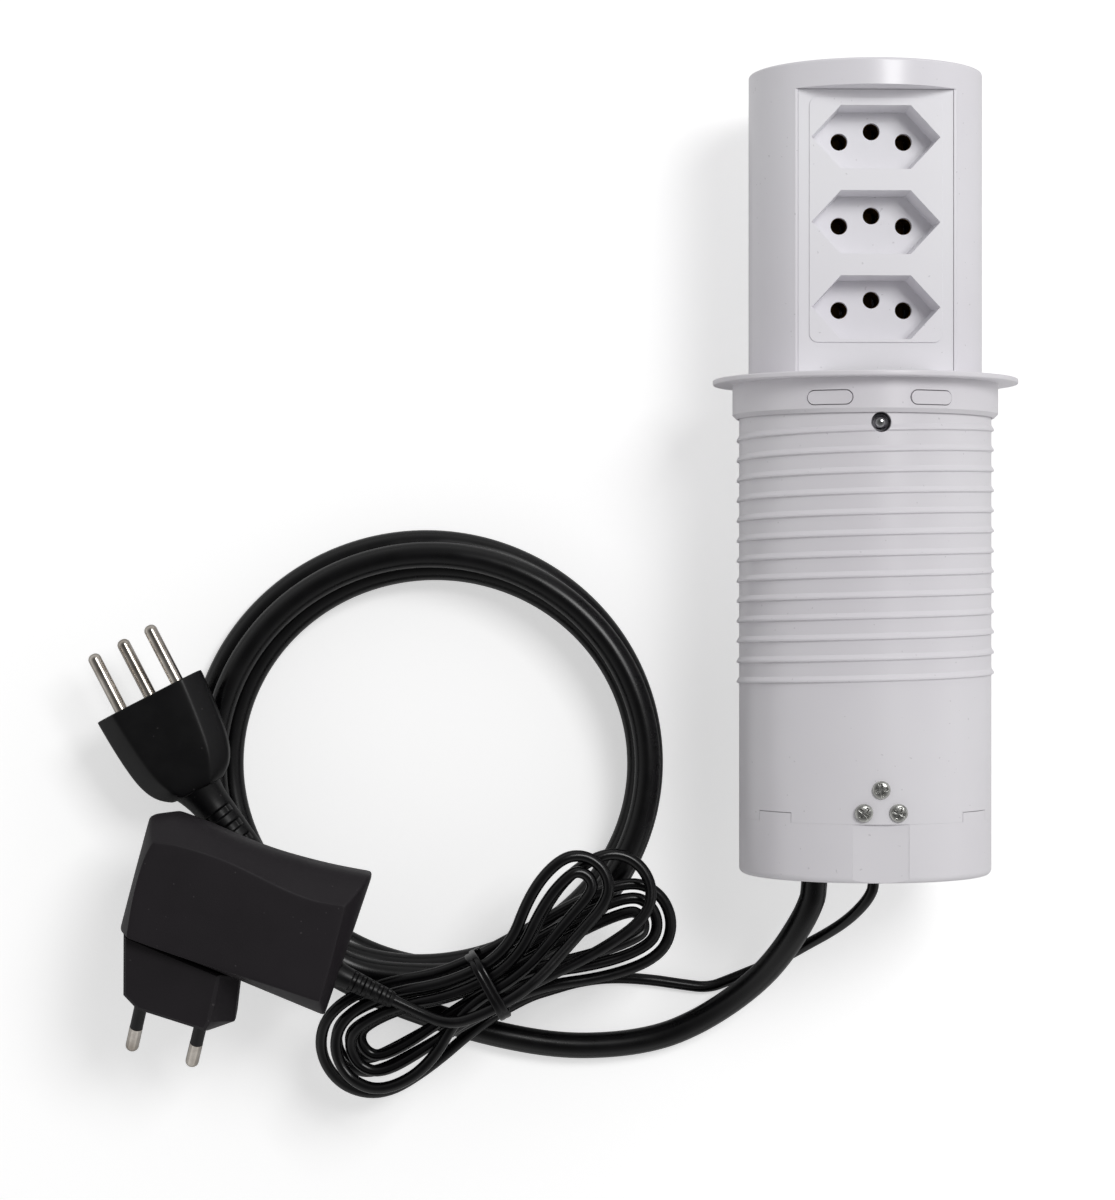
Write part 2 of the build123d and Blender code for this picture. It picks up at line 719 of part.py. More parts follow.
# Leads inside the tower, from the contacts and the charger board to the gland
lead_depth = contact_back-bus_thick-lead_radius-seat_gap
lead_end = foot_low
lead_turn = foot_low+bottom_plate_thick+lead_drop
for name, start_x, start_depth, start_level, end_x, end_depth in [
    ("line_lead", -pin_spread, lead_depth, recess_levels[-1], -lead_spread, 0),
    ("neutral_lead", pin_spread, lead_depth, recess_levels[-1], lead_spread, 0),
    ("earth_lead", 0, lead_depth, recess_levels[-1], 0, lead_spread),
    ("charger_lead", 0, board_back+lead_drop, board_level, 0, -lead_spread),
]:
    route = [
        (start_x, flange_y+start_level, axis_height+start_depth),
        (start_x, flange_y+lead_turn, axis_height+start_depth),
        (end_x, flange_y+plate_high+lead_bend, axis_height+end_depth),
        (end_x, flange_y+lead_end, axis_height+end_depth),
    ]
    with BuildPart() as lead:
        tube(route, lead_bend, lead_radius)
    save(lead, name)

# Lead from the tower's gland to the anchor: it is almost straight with the tower up
with BuildPart() as service_lead:
    rod(cross(foot_low), service_radius, foot_low-anchor_high+anchor_plate_thick)
save(service_lead, "service_lead")

# The mains cord: exit, bend to the floor and lead-in, then the ring coil and its tail
exit_height = axis_height+exit_depth
cord_start_y = flange_y+anchor_high
cap_end_y = flange_y+cap_low


def laid_route(exit_x, straight, drop, floor):
    """A cord's points: out of the cap, down by shares of the exit's height, then as laid."""
    points = [(exit_x, cord_start_y, exit_height), (exit_x, cap_end_y-straight, exit_height)]
    points += [(x, cap_end_y-beyond, exit_height*share) for x, beyond, share in drop]
    return points+floor


# Each drop point is its x, its distance beyond the cap's end and its share of the height
mains_straight = 5.6
mains_drop = [
    (-15.2, 12.4, 0.962),
    (-18.5, 19.2, 0.860),
    (-22.4, 26.2, 0.713),
    (-27.1, 33.0, 0.548),
    (-32.8, 39.0, 0.395),
    (-39.8, 44.8, 0.268),
    (-48.2, 50.2, 0.172),
]
mains_floor = [
    (-58.4, -173.6, mains_radius),
    (-72.6, -176.0, mains_radius),
    (-90.0, -176.2, mains_radius),
    (-110.0, -172.6, mains_radius),
    (-129.0, -167.0, mains_radius),
    (-146.0, -160.6, mains_radius),
    (-160.0, -153.6, mains_radius),
]
mains_route = laid_route(mains_exit_x, mains_straight, mains_drop, mains_floor)

# The ring coil: turns on an ellipse, clockwise from above, each resting on those below
ring_centre = Vector(-130.0, -88.0, 0)
ring_semi_x = 67.0
ring_semi_y = 64.9
ring_turns = 2.9
ring_start = math.radians(225)
ring_fan = 4.55
ring_squeeze = 1.8
strand_pitch = 9.1
nodes_per_turn = 8
blend_turns = 0.25
height_window = 0.06
tangent_turns = 0.02
parallel_limit = 1e-9
ring_near_length = 32.0


def ease(share):
    """A smooth step from 0 to 1."""
    share = min(max(share, 0), 1)
    return share*share*(3-2*share)


def ring_offset(turn):
    """How far a strand lies outside the ring's mean line."""
    angle = ring_start-2*math.pi*turn
    spread = ring_fan-(ring_fan-ring_squeeze)*((1+math.cos(angle))/2)**2
    if turn < 1:
        return spread*(1-2*ease((turn-1+blend_turns)/blend_turns))
    if turn < 2:
        return -spread*(1-ease((turn-2+blend_turns)/blend_turns))
    return 0


def stack_height(turn):
    """The height of a strand that rests on the floor or on the turns below it."""
    height = mains_radius
    below = turn-1
    while below >= 0:
        apart = abs(ring_offset(turn)-ring_offset(below))
        if apart < strand_pitch:
            rise = math.sqrt(strand_pitch**2-apart**2)
            height = max(height, stack_height(below)+rise)
        below -= 1
    return height


def ring_point(turn):
    """A point on the coil's centreline."""
    angle = ring_start-2*math.pi*turn
    offset = ring_offset(turn)
    near = [stack_height(max(turn+height_window*step/4, 0)) for step in range(-4, 5)]
    height = (max(near)+sum(near)/len(near))/2
    x = (ring_semi_x+offset)*math.cos(angle)
    y = (ring_semi_y+offset)*math.sin(angle)
    return ring_centre+Vector(x, y, height)


def ring_tangent(turn):
    """The coil's direction at a point."""
    behind = ring_point(max(turn-tangent_turns, 0))
    return (ring_point(turn+tangent_turns)-behind).normalized()


def biarc(start, start_direction, end, end_direction):
    """Two tangent arcs between two points, as start, middle and end of each."""
    span = end-start
    both = span.dot(start_direction+end_direction)
    facing = 2*(1-start_direction.dot(end_direction))
    if facing < parallel_limit:
        reach = span.dot(span)/(4*span.dot(start_direction))
    else:
        reach = (math.sqrt(both**2+facing*span.dot(span))-both)/facing
    first = start+start_direction*reach
    second = end-end_direction*reach
    join = (first+second)*0.5
    return [arc_between(start, first, join), arc_between(join, second, end)]


def arc_between(start, corner, end):
    """The arc that is tangent to the two sides of a corner."""
    middle = (start+end)*0.5
    half_chord = (end-start).length/2
    outward = corner-middle
    quarter_turn = math.atan2(outward.length, half_chord)/2
    return start, middle+outward.normalized()*half_chord*math.tan(quarter_turn), end


def wound_tube(nodes, radius):
    """Sweep a tube on biarcs through points and directions; returns its length."""
    with BuildLine() as path:
        for (start, start_direction), (end, end_direction) in zip(nodes, nodes[1:]):
            for arc in biarc(start, start_direction, end, end_direction):
                ThreePointArc(*arc)
    with BuildSketch(Plane(origin=path.line @ 0, z_dir=path.line % 0)) as profile:
        Circle(radius)
    sweep(profile.sketch, path=path.line)
    return path.edges()


def least_gap(edges, radius, near_length):
    """The least distance between a tube's surface and itself, away from each point's neighbours."""
    points = []
    places = []
    travelled = 0
    for edge in edges:
        count = max(2, math.ceil(edge.length/sample_length))
        for step in range(count):
            points.append(edge @ (step/count))
            places.append(travelled+edge.length*step/count)
        travelled += edge.length
    least = travelled
    for index, point in enumerate(points):
        for other in range(index+1, len(points)):
            if places[other]-places[index] > near_length:
                least = min(least, (points[other]-point).length)
    return least-2*radius, travelled


sample_length = 1.2
ring_nodes = []
node_count = math.floor(ring_turns*nodes_per_turn)+1
for index in range(node_count):
    ring_nodes.append((ring_point(index/nodes_per_turn), ring_tangent(index/nodes_per_turn)))
ring_nodes.append((ring_point(ring_turns), ring_tangent(ring_turns)))
with BuildPart() as mains_cord_coil:
    ring_edges = wound_tube(ring_nodes, mains_radius)
save(mains_cord_coil, "mains_cord_coil")
gap, ring_length = least_gap(ring_edges, mains_radius, ring_near_length)
print(f"mains coil: length {ring_length:.0f}, least gap to itself {gap:.2f}")
ring_first, ring_in = ring_nodes[0]
ring_last, ring_out = ring_nodes[-1]
mains_route += [tuple(ring_first-ring_in*cord_lead), tuple(ring_first)]


def free_cord(name, route, radius):
    """Make a stretch of cord that isn't coiled; prints its length and its bends."""
    with BuildPart() as cord:
        length = tube(route, bend_radii(route), radius)
    save(cord, name)
    share = cord.part.volume/(length*math.pi*radius**2)
    tightest = min(bend_radii(route))
    print(f"{name}: length {length:.0f}, tightest bend {tightest:.0f}, volume share {share:.3f}")


free_cord("mains_cord", mains_route, mains_radius)

# The mains plug lies on the ring's left side, with a relief that bends toward the tail
plug_height = 24.4
plug_place = (-215.2, -66.5, plug_height)
plug_outward = (-0.459, 0.888, 0)
plug_plane = Plane(origin=plug_place, x_dir=plug_outward, z_dir=(0, 0, 1))
plug_half_wide = 17.4
plug_half_shoulder = 15.5
plug_half_back = 8.0
plug_long = 32.5
plug_shoulder = 22.0
plug_half_thick = 8.1
plug_flank_half = 3.5
plug_corner = 4.0
plug_face_half_wide = 11.4
plug_face_half_shoulder = 9.0
plug_face_half_back = 4.5
plug_face_long = 30.5
plug_face_corner = 2.5
plug_edge = 0.8
plug_pin_radius = 2.0
plug_pin_long = 19.0
plug_pin_spread = 9.5
plug_pin_offset = 3.0
plug_pin_tip = 1.8
relief_drop = 0.4
relief_start = Vector(-199.0, -96.2, plug_height-relief_drop)
relief_direction = Vector(0.60, -0.79, -0.03).normalized()
relief_long = 28.0
relief_big = 6.0
relief_small = 4.8
relief_ribs = 6
relief_slot_deep = 0.8
rib_share = 0.6
plug_axis = Axis(plug_plane.origin, plug_plane.x_dir)
rear_corner_count = 4


def plug_section(height, front_half, shoulder_half, back_half, long, corner):
    """The plug's outline at a height over its middle plane."""
    with BuildSketch(plug_plane.offset(height)) as profile:
        with BuildLine():
            Polyline(
                (0, -front_half),
                (0, front_half),
                (-plug_shoulder, shoulder_half),
                (-long, back_half),
                (-long, -back_half),
                (-plug_shoulder, -shoulder_half),
                close=True,
            )
        make_face()
        rear_corners = profile.vertices().sort_by(plug_axis)[:rear_corner_count]
        fillet(rear_corners, corner)
    return profile.sketch


plug_outline = (plug_half_wide, plug_half_shoulder, plug_half_back, plug_long, plug_corner)
plug_face = (plug_face_half_wide, plug_face_half_shoulder, plug_face_half_back, plug_face_long,
             plug_face_corner)
with BuildPart() as mains_plug_body:
    extrude(plug_section(-plug_flank_half, *plug_outline), amount=2*plug_flank_half)
    for side in (-1, 1):
        flank = plug_section(side*plug_flank_half, *plug_outline)
        loft([flank, plug_section(side*plug_half_thick, *plug_face)], ruled=True)
    flat_faces = mains_plug_body.faces().filter_by(Axis.Z)
    fillet(flat_faces.edges(), plug_edge)
save(mains_plug_body, "mains_plug_body")

pin_face = Plane(origin=plug_plane.origin, x_dir=(-plug_plane.y_dir), z_dir=plug_plane.x_dir)
with BuildPart() as mains_plug_pins:
    for across, up in [(-plug_pin_spread, 0), (plug_pin_spread, 0), (0, plug_pin_offset)]:
        rod(at(pin_face, across, up), plug_pin_radius, plug_pin_long)
    rims = mains_plug_pins.edges().filter_by(GeomType.CIRCLE)
    tips = rims.group_by(Axis(pin_face.origin, pin_face.z_dir))[-1]
    fillet(tips, plug_pin_tip)
save(mains_plug_pins, "mains_plug_pins")


def ribbed_relief(start, direction, long, big, small, bore, ribs, slot_deep):
    """A relief that tapers in steps, with a slot after each rib."""
    side = direction.cross(Vector(0, 0, 1))
    upward = side.cross(direction)
    rib_pitch = long/ribs
    rib_long = rib_pitch*rib_share
    outline = [(bore, 0)]
    for rib in range(ribs):
        wide = big+(small-big)*rib/(ribs-1)
        low = rib*rib_pitch
        outline += [(wide, low), (wide, low+rib_long)]
        if rib < ribs-1:
            outline += [(wide-slot_deep, low+rib_long), (wide-slot_deep, low+rib_pitch)]
    outline.append((bore, (ribs-1)*rib_pitch+rib_long))
    with BuildSketch(Plane(origin=start, x_dir=side, z_dir=upward)) as profile:
        with BuildLine():
            Polyline(*outline, close=True)
        make_face()
    revolve(profile.sketch, axis=Axis(start, direction))


with BuildPart() as mains_plug_relief:
    ribbed_relief(relief_start, relief_direction, relief_long, relief_big, relief_small,
                  mains_radius+seat_gap, relief_ribs, relief_slot_deep)
save(mains_plug_relief, "mains_plug_relief")

# Tail of the mains cord: from the ring over its turns into the plug's relief
relief_end = relief_start+relief_direction*relief_long
mains_tail_route = [
    tuple(ring_last),
    tuple(ring_last+ring_out*cord_lead),
    (-161.0, -145.6, 22.4),
    (-169.2, -137.0, 22.8),
    tuple(relief_end+relief_direction*cord_lead),
    tuple(relief_start),
]
free_cord("mains_cord_tail", mains_tail_route, mains_radius)

# The hank: the thin cord folded in twelve lobes about a tie, in four levels.
# A lobe is its side, its turn in degrees, its reach and half width, and the
# levels at its start, its tip and its end. A waist is its place across and its level.
tie_place = Vector(-112.3, -152.7, 0)
hank_degrees = 28
hank_low = 30.0
hank_step = 4.05
hank_rise = 4.3
hank_drop_left = 10.0
hank_drop_right = 2.5
hank_flat_right = 30.0
hank_reach = 58.0
hank_lobes = [
    (-1, 2, 56.1, 16.2, 0, 0, 0),
    (1, -6.7, 58.5, 12.5, 0, 0, 0),
    (-1, -1, 50.5, 9.8, 0, 0, 0),
    (1, -6.7, 54.3, 8.2, 0, 0, 0),
    (-1, -1, 46.3, 5.6, 0, 0, 0),
    (1, -6.7, 50.1, 4.0, 0, 0.5, 1),
    (-1, -1, 42.5, 5.5, 1.3, 1.65, 2.1),
    (1, 8, 57.5, 12.0, 2, 2, 2),
    (-1, 1, 46.0, 8.2, 2.2, 2.7, 3.15),
    (1, 20, 44.0, 4.4, 3.1, 3.1, 3.1),
    (-1, 1, 50.5, 12.8, 3.35, 3.3, 3.1),
    (1, 20, 48.7, 9.6, 3.1, 3.1, 3.1),
]
hank_waists = [
    (-3.1, 0), (2, 0), (-2, 0), (1, 0), (-1, 0), (0, 0), (-0.5, 1),
    (0.5, 2), (-1.5, 2), (0.5, 3), (-0.5, 3), (1.5, 3), (-1.5, 4.1),
]
first_lobe_heights = [13.0, 19.0, 27.5]
hank_entry_height = 9.5
hank_entry_slope = 0.3
hank_slope_share = 0.9
hank_drop_power = 1.5
hank_near_length = 10.5


def heading(degrees):
    """A level direction at an angle from +X."""
    turn = math.radians(degrees)
    return Vector(math.cos(turn), math.sin(turn), 0)


hank_along = heading(hank_degrees)
hank_across = heading(hank_degrees+90)


def hank_height(side, reach, level):
    """The height of a strand at a distance from the tie."""
    if side > 0:
        drop = hank_drop_right*max(0, (reach-hank_flat_right)/(hank_reach-hank_flat_right))**hank_drop_power
    else:
        drop = hank_drop_left*min(reach/hank_reach, 1)**2
    return hank_low-drop+level*hank_rise


hank_places = []
for (side, fan, reach, half, *levels), (across, level) in zip(hank_lobes, hank_waists):
    first = len(hank_places) == 0
    waist_height = hank_entry_height if first else hank_height(side, 0, level)
    waist_place = tie_place+hank_across*across*hank_step+Vector(0, 0, waist_height)
    hank_places.append((waist_place, hank_along*side))
    out = heading(hank_degrees+fan)*side
    left = heading(hank_degrees+fan+90)*side
    wide = reach-half
    for distance, sideways, direction, level in [
        (wide, half, out, levels[0]),
        (reach, 0, -left, levels[1]),
        (wide, -half, -out, levels[2]),
    ]:
        place = tie_place+out*distance+left*sideways
        height = hank_height(side, distance, level)
        hank_places.append((place+Vector(0, 0, height), direction))
for index, height in enumerate(first_lobe_heights):
    place, direction = hank_places[index+1]
    hank_places[index+1] = (Vector(place.X, place.Y, height), direction)
across, level = hank_waists[-1]
waist_place = tie_place+hank_across*across*hank_step+Vector(0, 0, hank_height(1, 0, level))
hank_places.append((waist_place, -hank_along))

hank_nodes = []
for index, (place, direction) in enumerate(hank_places):
    slope = hank_entry_slope if index == 0 else 0
    if 0 < index < len(hank_places)-1:
        before = hank_places[index-1][0]
        after = hank_places[index+1][0]
        level_run = math.dist((before.X, before.Y), (place.X, place.Y))
        level_run += math.dist((after.X, after.Y), (place.X, place.Y))
        slope = hank_slope_share*(after.Z-before.Z)/level_run
    hank_nodes.append((place, (direction+Vector(0, 0, slope)).normalized()))
with BuildPart() as adapter_cord_hank:
    hank_edges = wound_tube(hank_nodes, thin_radius)
save(adapter_cord_hank, "adapter_cord_hank")
gap, hank_length = least_gap(hank_edges, thin_radius, hank_near_length)
print(f"hank: length {hank_length:.0f}, least gap to itself {gap:.2f}")

# The thin cord from the base to the hank
hank_first, hank_in = hank_nodes[0]
hank_last, hank_out = hank_nodes[-1]
thin_straight = 4.2
thin_drop = [
    (3.3, 8.8, 0.968),
    (0.1, 13.2, 0.879),
    (-3.7, 17.2, 0.758),
    (-8.3, 20.9, 0.618),
    (-13.3, 24.3, 0.484),
    (-18.3, 27.7, 0.369),
    (-23.8, 31.0, 0.261),
    (-30.0, 33.9, 0.159),
    (-36.8, 37.0, 0.083),
]
thin_floor = [
    (-43.4, -158.6, thin_radius),
    (-51.8, -157.5, thin_radius),
    (-62.0, -155.9, thin_radius),
    (-74.0, -155.2, thin_radius),
    (-84.0, -156.4, 2.4),
    (-92.5, -158.6, 4.6),
    tuple(hank_first-hank_in*thin_lead),
    tuple(hank_first),
]
adapter_route = laid_route(thin_exit_x, thin_straight, thin_drop, thin_floor)
free_cord("adapter_cord", adapter_route, thin_radius)

# Adapter: two half shells, a block with the pins, a relief and the works inside
adapter_low = 30.0
adapter_split_rise = 15.0
adapter_split = adapter_low+adapter_split_rise
adapter_face_rise = 15.0
adapter_high = adapter_split+adapter_face_rise
adapter_joint = 0.1
adapter_wall = 2.2
adapter_round = 2.4
adapter_face_round = 1.5
adapter_corner = 3.0
adapter_face_corner = 2.0
adapter_inner_corner = 1.0
adapter_band_rise = 3.0
adapter_band_high = adapter_split+adapter_band_rise
adapter_corners = [
    (-212.7, -101.4),
    (-205.1, -100.2),
    (-146.7, -119.0),
    (-161.1, -160.7),
    (-221.5, -134.9),
]
adapter_dip = (-177.5, -111.4)
adapter_face_corners = [
    (-210.6, -108.4),
    (-204.4, -108.9),
    (-154.4, -127.0),
    (-162.0, -155.4),
    (-218.4, -136.2),
]
adapter_face_dip = (-179.0, -118.9)


def adapter_section(level, corners, dip, corner, inset=0):
    """The adapter's outline at a level, with the hollow in its upper side."""
    left, hump, right, low_right, low_left = corners
    with BuildSketch(Plane.XY.offset(level)) as profile:
        with BuildLine():
            Line(left, hump)
            ThreePointArc(hump, dip, right)
            Polyline(right, low_right, low_left, left)
        make_face()
        if inset:
            offset(amount=-inset, kind=Kind.INTERSECTION)
        fillet(profile.vertices(), corner)
    return profile.sketch


def adapter_block(low, high, inset, corner, face_corner, mode=Mode.ADD):
    """The adapter's form between two levels: upright to the band, then sloped to the face."""
    bottom = adapter_section(low, adapter_corners, adapter_dip, corner, inset)
    if high <= adapter_band_high:
        extrude(bottom, amount=high-low, mode=mode)
        return
    band = adapter_section(adapter_band_high, adapter_corners, adapter_dip, corner, inset)
    face = adapter_section(high, adapter_face_corners, adapter_face_dip, face_corner, inset)
    loft([bottom, band], ruled=True, mode=mode)
    loft([band, face], ruled=True, mode=mode)


with BuildPart() as adapter_back_shell:
    back_high = adapter_split-adapter_joint/2
    adapter_block(adapter_low, back_high, 0, adapter_corner, adapter_face_corner)
    fillet(adapter_back_shell.faces().sort_by(Axis.Z)[0].edges(), adapter_round)
    adapter_block(adapter_low+adapter_wall, back_high, adapter_wall+adapter_joint, adapter_inner_corner,
                  adapter_inner_corner, mode=Mode.SUBTRACT)
save(adapter_back_shell, "adapter_back_shell")

with BuildPart() as adapter_front_shell:
    front_low = adapter_split+adapter_joint/2
    adapter_block(front_low, adapter_high, 0, adapter_corner, adapter_face_corner)
    fillet(adapter_front_shell.faces().sort_by(Axis.Z)[-1].edges(), adapter_face_round)
    adapter_block(front_low, adapter_high-adapter_wall, adapter_wall+adapter_joint, adapter_inner_corner,
                  adapter_inner_corner, mode=Mode.SUBTRACT)
save(adapter_front_shell, "adapter_front_shell")

pin_block_rise = 4.0
pin_block_drop = 5.0
pin_block_low = adapter_low+pin_block_rise
pin_block_high = adapter_high-pin_block_drop
pin_block_corners = [
    (-219.8, -135.63),
    (-186.5, -149.86),
    (-188.0, -162.8),
    (-195.4, -165.4),
    (-216.3, -158.6),
    (-220.6, -154.0),
]
pin_block_face_corners = [
    (-219.8, -135.63),
    (-191.6, -147.68),
    (-194.6, -161.5),
    (-196.0, -164.2),
    (-215.8, -157.8),
    (-219.8, -153.6),
]
pin_block_band_drop = 1.0
pin_block_band = adapter_split-pin_block_band_drop
pin_block_round = 0.8
pin_tilt = 31
pin_heading = 255
pin_face_drop = 4.0
pin_face_place = (-206.7, -159.6, adapter_split-pin_face_drop)
adapter_pin_spread = 9.3
adapter_pin_radius = 2.0
adapter_pin_long = 19.0
adapter_sleeve_long = 10.0
adapter_pin_core = 1.5
pin_level = heading(pin_heading)*math.cos(math.radians(pin_tilt))
pin_out = pin_level-Vector(0, 0, math.sin(math.radians(pin_tilt)))
pin_plane = Plane(origin=pin_face_place, x_dir=heading(pin_heading+90), z_dir=pin_out)


def pin_block_section(level, corners):
    """The pin block's outline at a level."""
    with BuildSketch(Plane.XY.offset(level)) as profile:
        with BuildLine():
            Polyline(*corners, close=True)
        make_face()
    return profile.sketch


with BuildPart() as adapter_pin_block:
    bottom = pin_block_section(pin_block_low, pin_block_corners)
    band = pin_block_section(pin_block_band, pin_block_corners)
    face = pin_block_section(pin_block_high, pin_block_face_corners)
    loft([bottom, band], ruled=True)
    loft([band, face], ruled=True)
    block_top = adapter_pin_block.faces().sort_by(Axis.Z)[-1]
    chamfer(block_top.edges(), pin_block_round)
    with BuildSketch(pin_plane):
        Rectangle(adapter_high, adapter_high)
    extrude(amount=adapter_high, mode=Mode.SUBTRACT)
save(adapter_pin_block, "adapter_pin_block")

with BuildPart() as adapter_pins:
    for across in (-adapter_pin_spread, adapter_pin_spread):
        rod(at(pin_plane, across, 0), adapter_pin_core, adapter_sleeve_long)
        rod(at(pin_plane.offset(adapter_sleeve_long), across, 0), adapter_pin_radius,
            adapter_pin_long-adapter_sleeve_long)
    rims = adapter_pins.edges().filter_by(GeomType.CIRCLE)
    tips = rims.group_by(Axis(pin_plane.origin, pin_out))[-1]
    fillet(tips, plug_pin_tip)
save(adapter_pins, "adapter_pins")

with BuildPart() as adapter_pin_sleeves:
    for across in (-adapter_pin_spread, adapter_pin_spread):
        rod(at(pin_plane, across, 0), adapter_pin_radius-seat_gap, adapter_sleeve_long-seat_gap)
        rod(at(pin_plane, across, 0), adapter_pin_core+seat_gap/2, adapter_sleeve_long-seat_gap,
            mode=Mode.SUBTRACT)
save(adapter_pin_sleeves, "adapter_pin_sleeves")

works_board_long = 50.0
works_board_wide = 24.0
works_board_thick = 1.6
transformer_long = 24.0
transformer_wide = 20.0
transformer_high = 18.0
transformer_round = 2.0
works_degrees = -19
works_place = (-184.0, -128.0, adapter_low+adapter_wall)
works_plane = Plane(origin=works_place, x_dir=heading(works_degrees), z_dir=(0, 0, 1))
with BuildPart() as adapter_board:
    bar(works_plane.offset(seat_gap), works_board_long, works_board_wide, works_board_thick)
save(adapter_board, "adapter_board")
with BuildPart() as adapter_transformer:
    bar(works_plane.offset(works_board_thick+2*seat_gap), transformer_long, transformer_wide,
        transformer_high)
    upright_edges = adapter_transformer.edges().filter_by(Axis.Z)
    fillet(upright_edges, transformer_round)
save(adapter_transformer, "adapter_transformer")

# Relief where the thin cord enters the adapter, and the cord's tail through it
thin_relief_rise = 1.4
thin_relief_start = Vector(-156.45, -148.87, adapter_split+thin_relief_rise)
thin_relief_direction = Vector(0.90, -0.436, 0).normalized()
thin_relief_long = 17.5
thin_relief_big = 3.5
thin_relief_small = 2.4
thin_relief_ribs = 5
thin_relief_slot_deep = 0.5
with BuildPart() as adapter_relief:
    ribbed_relief(thin_relief_start, thin_relief_direction, thin_relief_long, thin_relief_big,
                  thin_relief_small, thin_radius+seat_gap, thin_relief_ribs, thin_relief_slot_deep)
save(adapter_relief, "adapter_relief")

thin_relief_end = thin_relief_start+thin_relief_direction*thin_relief_long
adapter_tail_route = [
    tuple(hank_last),
    tuple(hank_last+hank_out*thin_lead),
    (-124.6, -163.6, 48.0),
    tuple(thin_relief_end+thin_relief_direction*thin_lead),
    tuple(thin_relief_start),
]
free_cord("adapter_cord_tail", adapter_tail_route, thin_radius)

# Tie round the hank's waist: two flat strands side by side
tie_thick = 1.0
tie_wide = 1.9
tie_gap = 0.7
tie_apart = 2.1
tie_low = hank_low-thin_radius-tie_gap
tie_high = hank_height(1, 0, hank_waists[-1][1])+thin_radius+tie_gap
tie_half = 2*hank_step+thin_radius+tie_gap
tie_corner = 2.5
tie_middle = tie_place+Vector(0, 0, (tie_low+tie_high)/2)
tie_plane = Plane(origin=tie_middle, x_dir=hank_across, z_dir=hank_along)
with BuildPart() as hank_tie:
    for shift in (-tie_apart/2, tie_apart/2):
        with BuildSketch(tie_plane.offset(shift-tie_wide/2)):
            RectangleRounded(2*tie_half+2*tie_thick, tie_high-tie_low+2*tie_thick, tie_corner+tie_thick)
            RectangleRounded(2*tie_half, tie_high-tie_low, tie_corner, mode=Mode.SUBTRACT)
        extrude(amount=tie_wide)
    bar(at(tie_plane.offset(-tie_apart/2), tie_half+tie_thick/2, 0), tie_thick, tie_wide, tie_apart)
save(hank_tie, "hank_tie")
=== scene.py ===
import math

import bmesh
import bpy
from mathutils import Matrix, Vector


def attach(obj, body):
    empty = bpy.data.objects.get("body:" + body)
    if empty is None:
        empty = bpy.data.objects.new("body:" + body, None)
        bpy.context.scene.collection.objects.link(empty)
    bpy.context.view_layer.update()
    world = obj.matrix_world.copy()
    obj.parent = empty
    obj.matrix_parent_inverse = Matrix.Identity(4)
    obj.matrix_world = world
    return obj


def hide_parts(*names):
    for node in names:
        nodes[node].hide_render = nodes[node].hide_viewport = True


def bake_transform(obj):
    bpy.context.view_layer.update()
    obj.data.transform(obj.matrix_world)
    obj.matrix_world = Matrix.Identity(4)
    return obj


# Pop up desk socket, lying on its side, with its mains cord and plug coiled
# beside it and its small power adapter on a folded thin cord. Metres; the
# sockets face +Z, the tower's axis runs along +Y.

mm = 0.001
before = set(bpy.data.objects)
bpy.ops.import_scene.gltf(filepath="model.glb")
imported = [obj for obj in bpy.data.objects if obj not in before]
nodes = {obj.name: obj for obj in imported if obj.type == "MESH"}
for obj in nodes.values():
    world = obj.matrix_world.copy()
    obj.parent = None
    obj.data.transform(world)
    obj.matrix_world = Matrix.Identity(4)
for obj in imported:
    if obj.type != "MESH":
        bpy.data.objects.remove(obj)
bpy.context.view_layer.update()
print("frame loaded:", len(nodes), "nodes")

scene = bpy.context.scene
scene.view_settings.view_transform = "Standard"

# The camera hangs about a metre above the floor and looks almost straight down
cameraValues = {
    "place": (-120.9, -36.0, 995.4), "tiltX": -0.09, "tiltY": -1.75, "lens": 95.7, "sensor": 36.0,
    "near": 0.05, "far": 20.0}
cameraData = bpy.data.cameras.new("camera")
cameraData.sensor_fit = "VERTICAL"
cameraData.sensor_height = cameraValues["sensor"]
cameraData.lens = cameraValues["lens"]
cameraData.clip_start = cameraValues["near"]
cameraData.clip_end = cameraValues["far"]
camera = bpy.data.objects.new("camera", cameraData)
camera.location = Vector(cameraValues["place"])*mm
camera.rotation_euler = (math.radians(cameraValues["tiltX"]), math.radians(cameraValues["tiltY"]), 0)
scene.collection.objects.link(camera)
scene.camera = camera


def toLinear(hexColour):
    # sRGB hex to the linear values that sockets take
    values = []
    for start in (1, 3, 5):
        part = int(hexColour[start:start+2], 16)/255
        values.append(part/12.92 if part <= 0.04045 else ((part+0.055)/1.055)**2.4)
    return (*values, 1.0)


def perSize(millimetres):
    # pattern scale for a texture in object metres, from a real size
    return 1000.0/millimetres


def addNode(tree, kind, settings=None, inputs=None):
    node = tree.nodes.new("ShaderNode"+kind)
    for name, value in (settings or {}).items():
        setattr(node, name, value)
    for name, value in (inputs or {}).items():
        if isinstance(value, bpy.types.NodeSocket):
            tree.links.new(value, node.inputs[name])
        else:
            node.inputs[name].default_value = value
    return node


def newMaterial(name):
    material = bpy.data.materials.new(name)
    material.use_nodes = True
    material.node_tree.nodes.clear()
    return material, material.node_tree


def finishMaterial(material, tree, shader):
    addNode(tree, "OutputMaterial", inputs={"Surface": shader.outputs[0]})
    return material


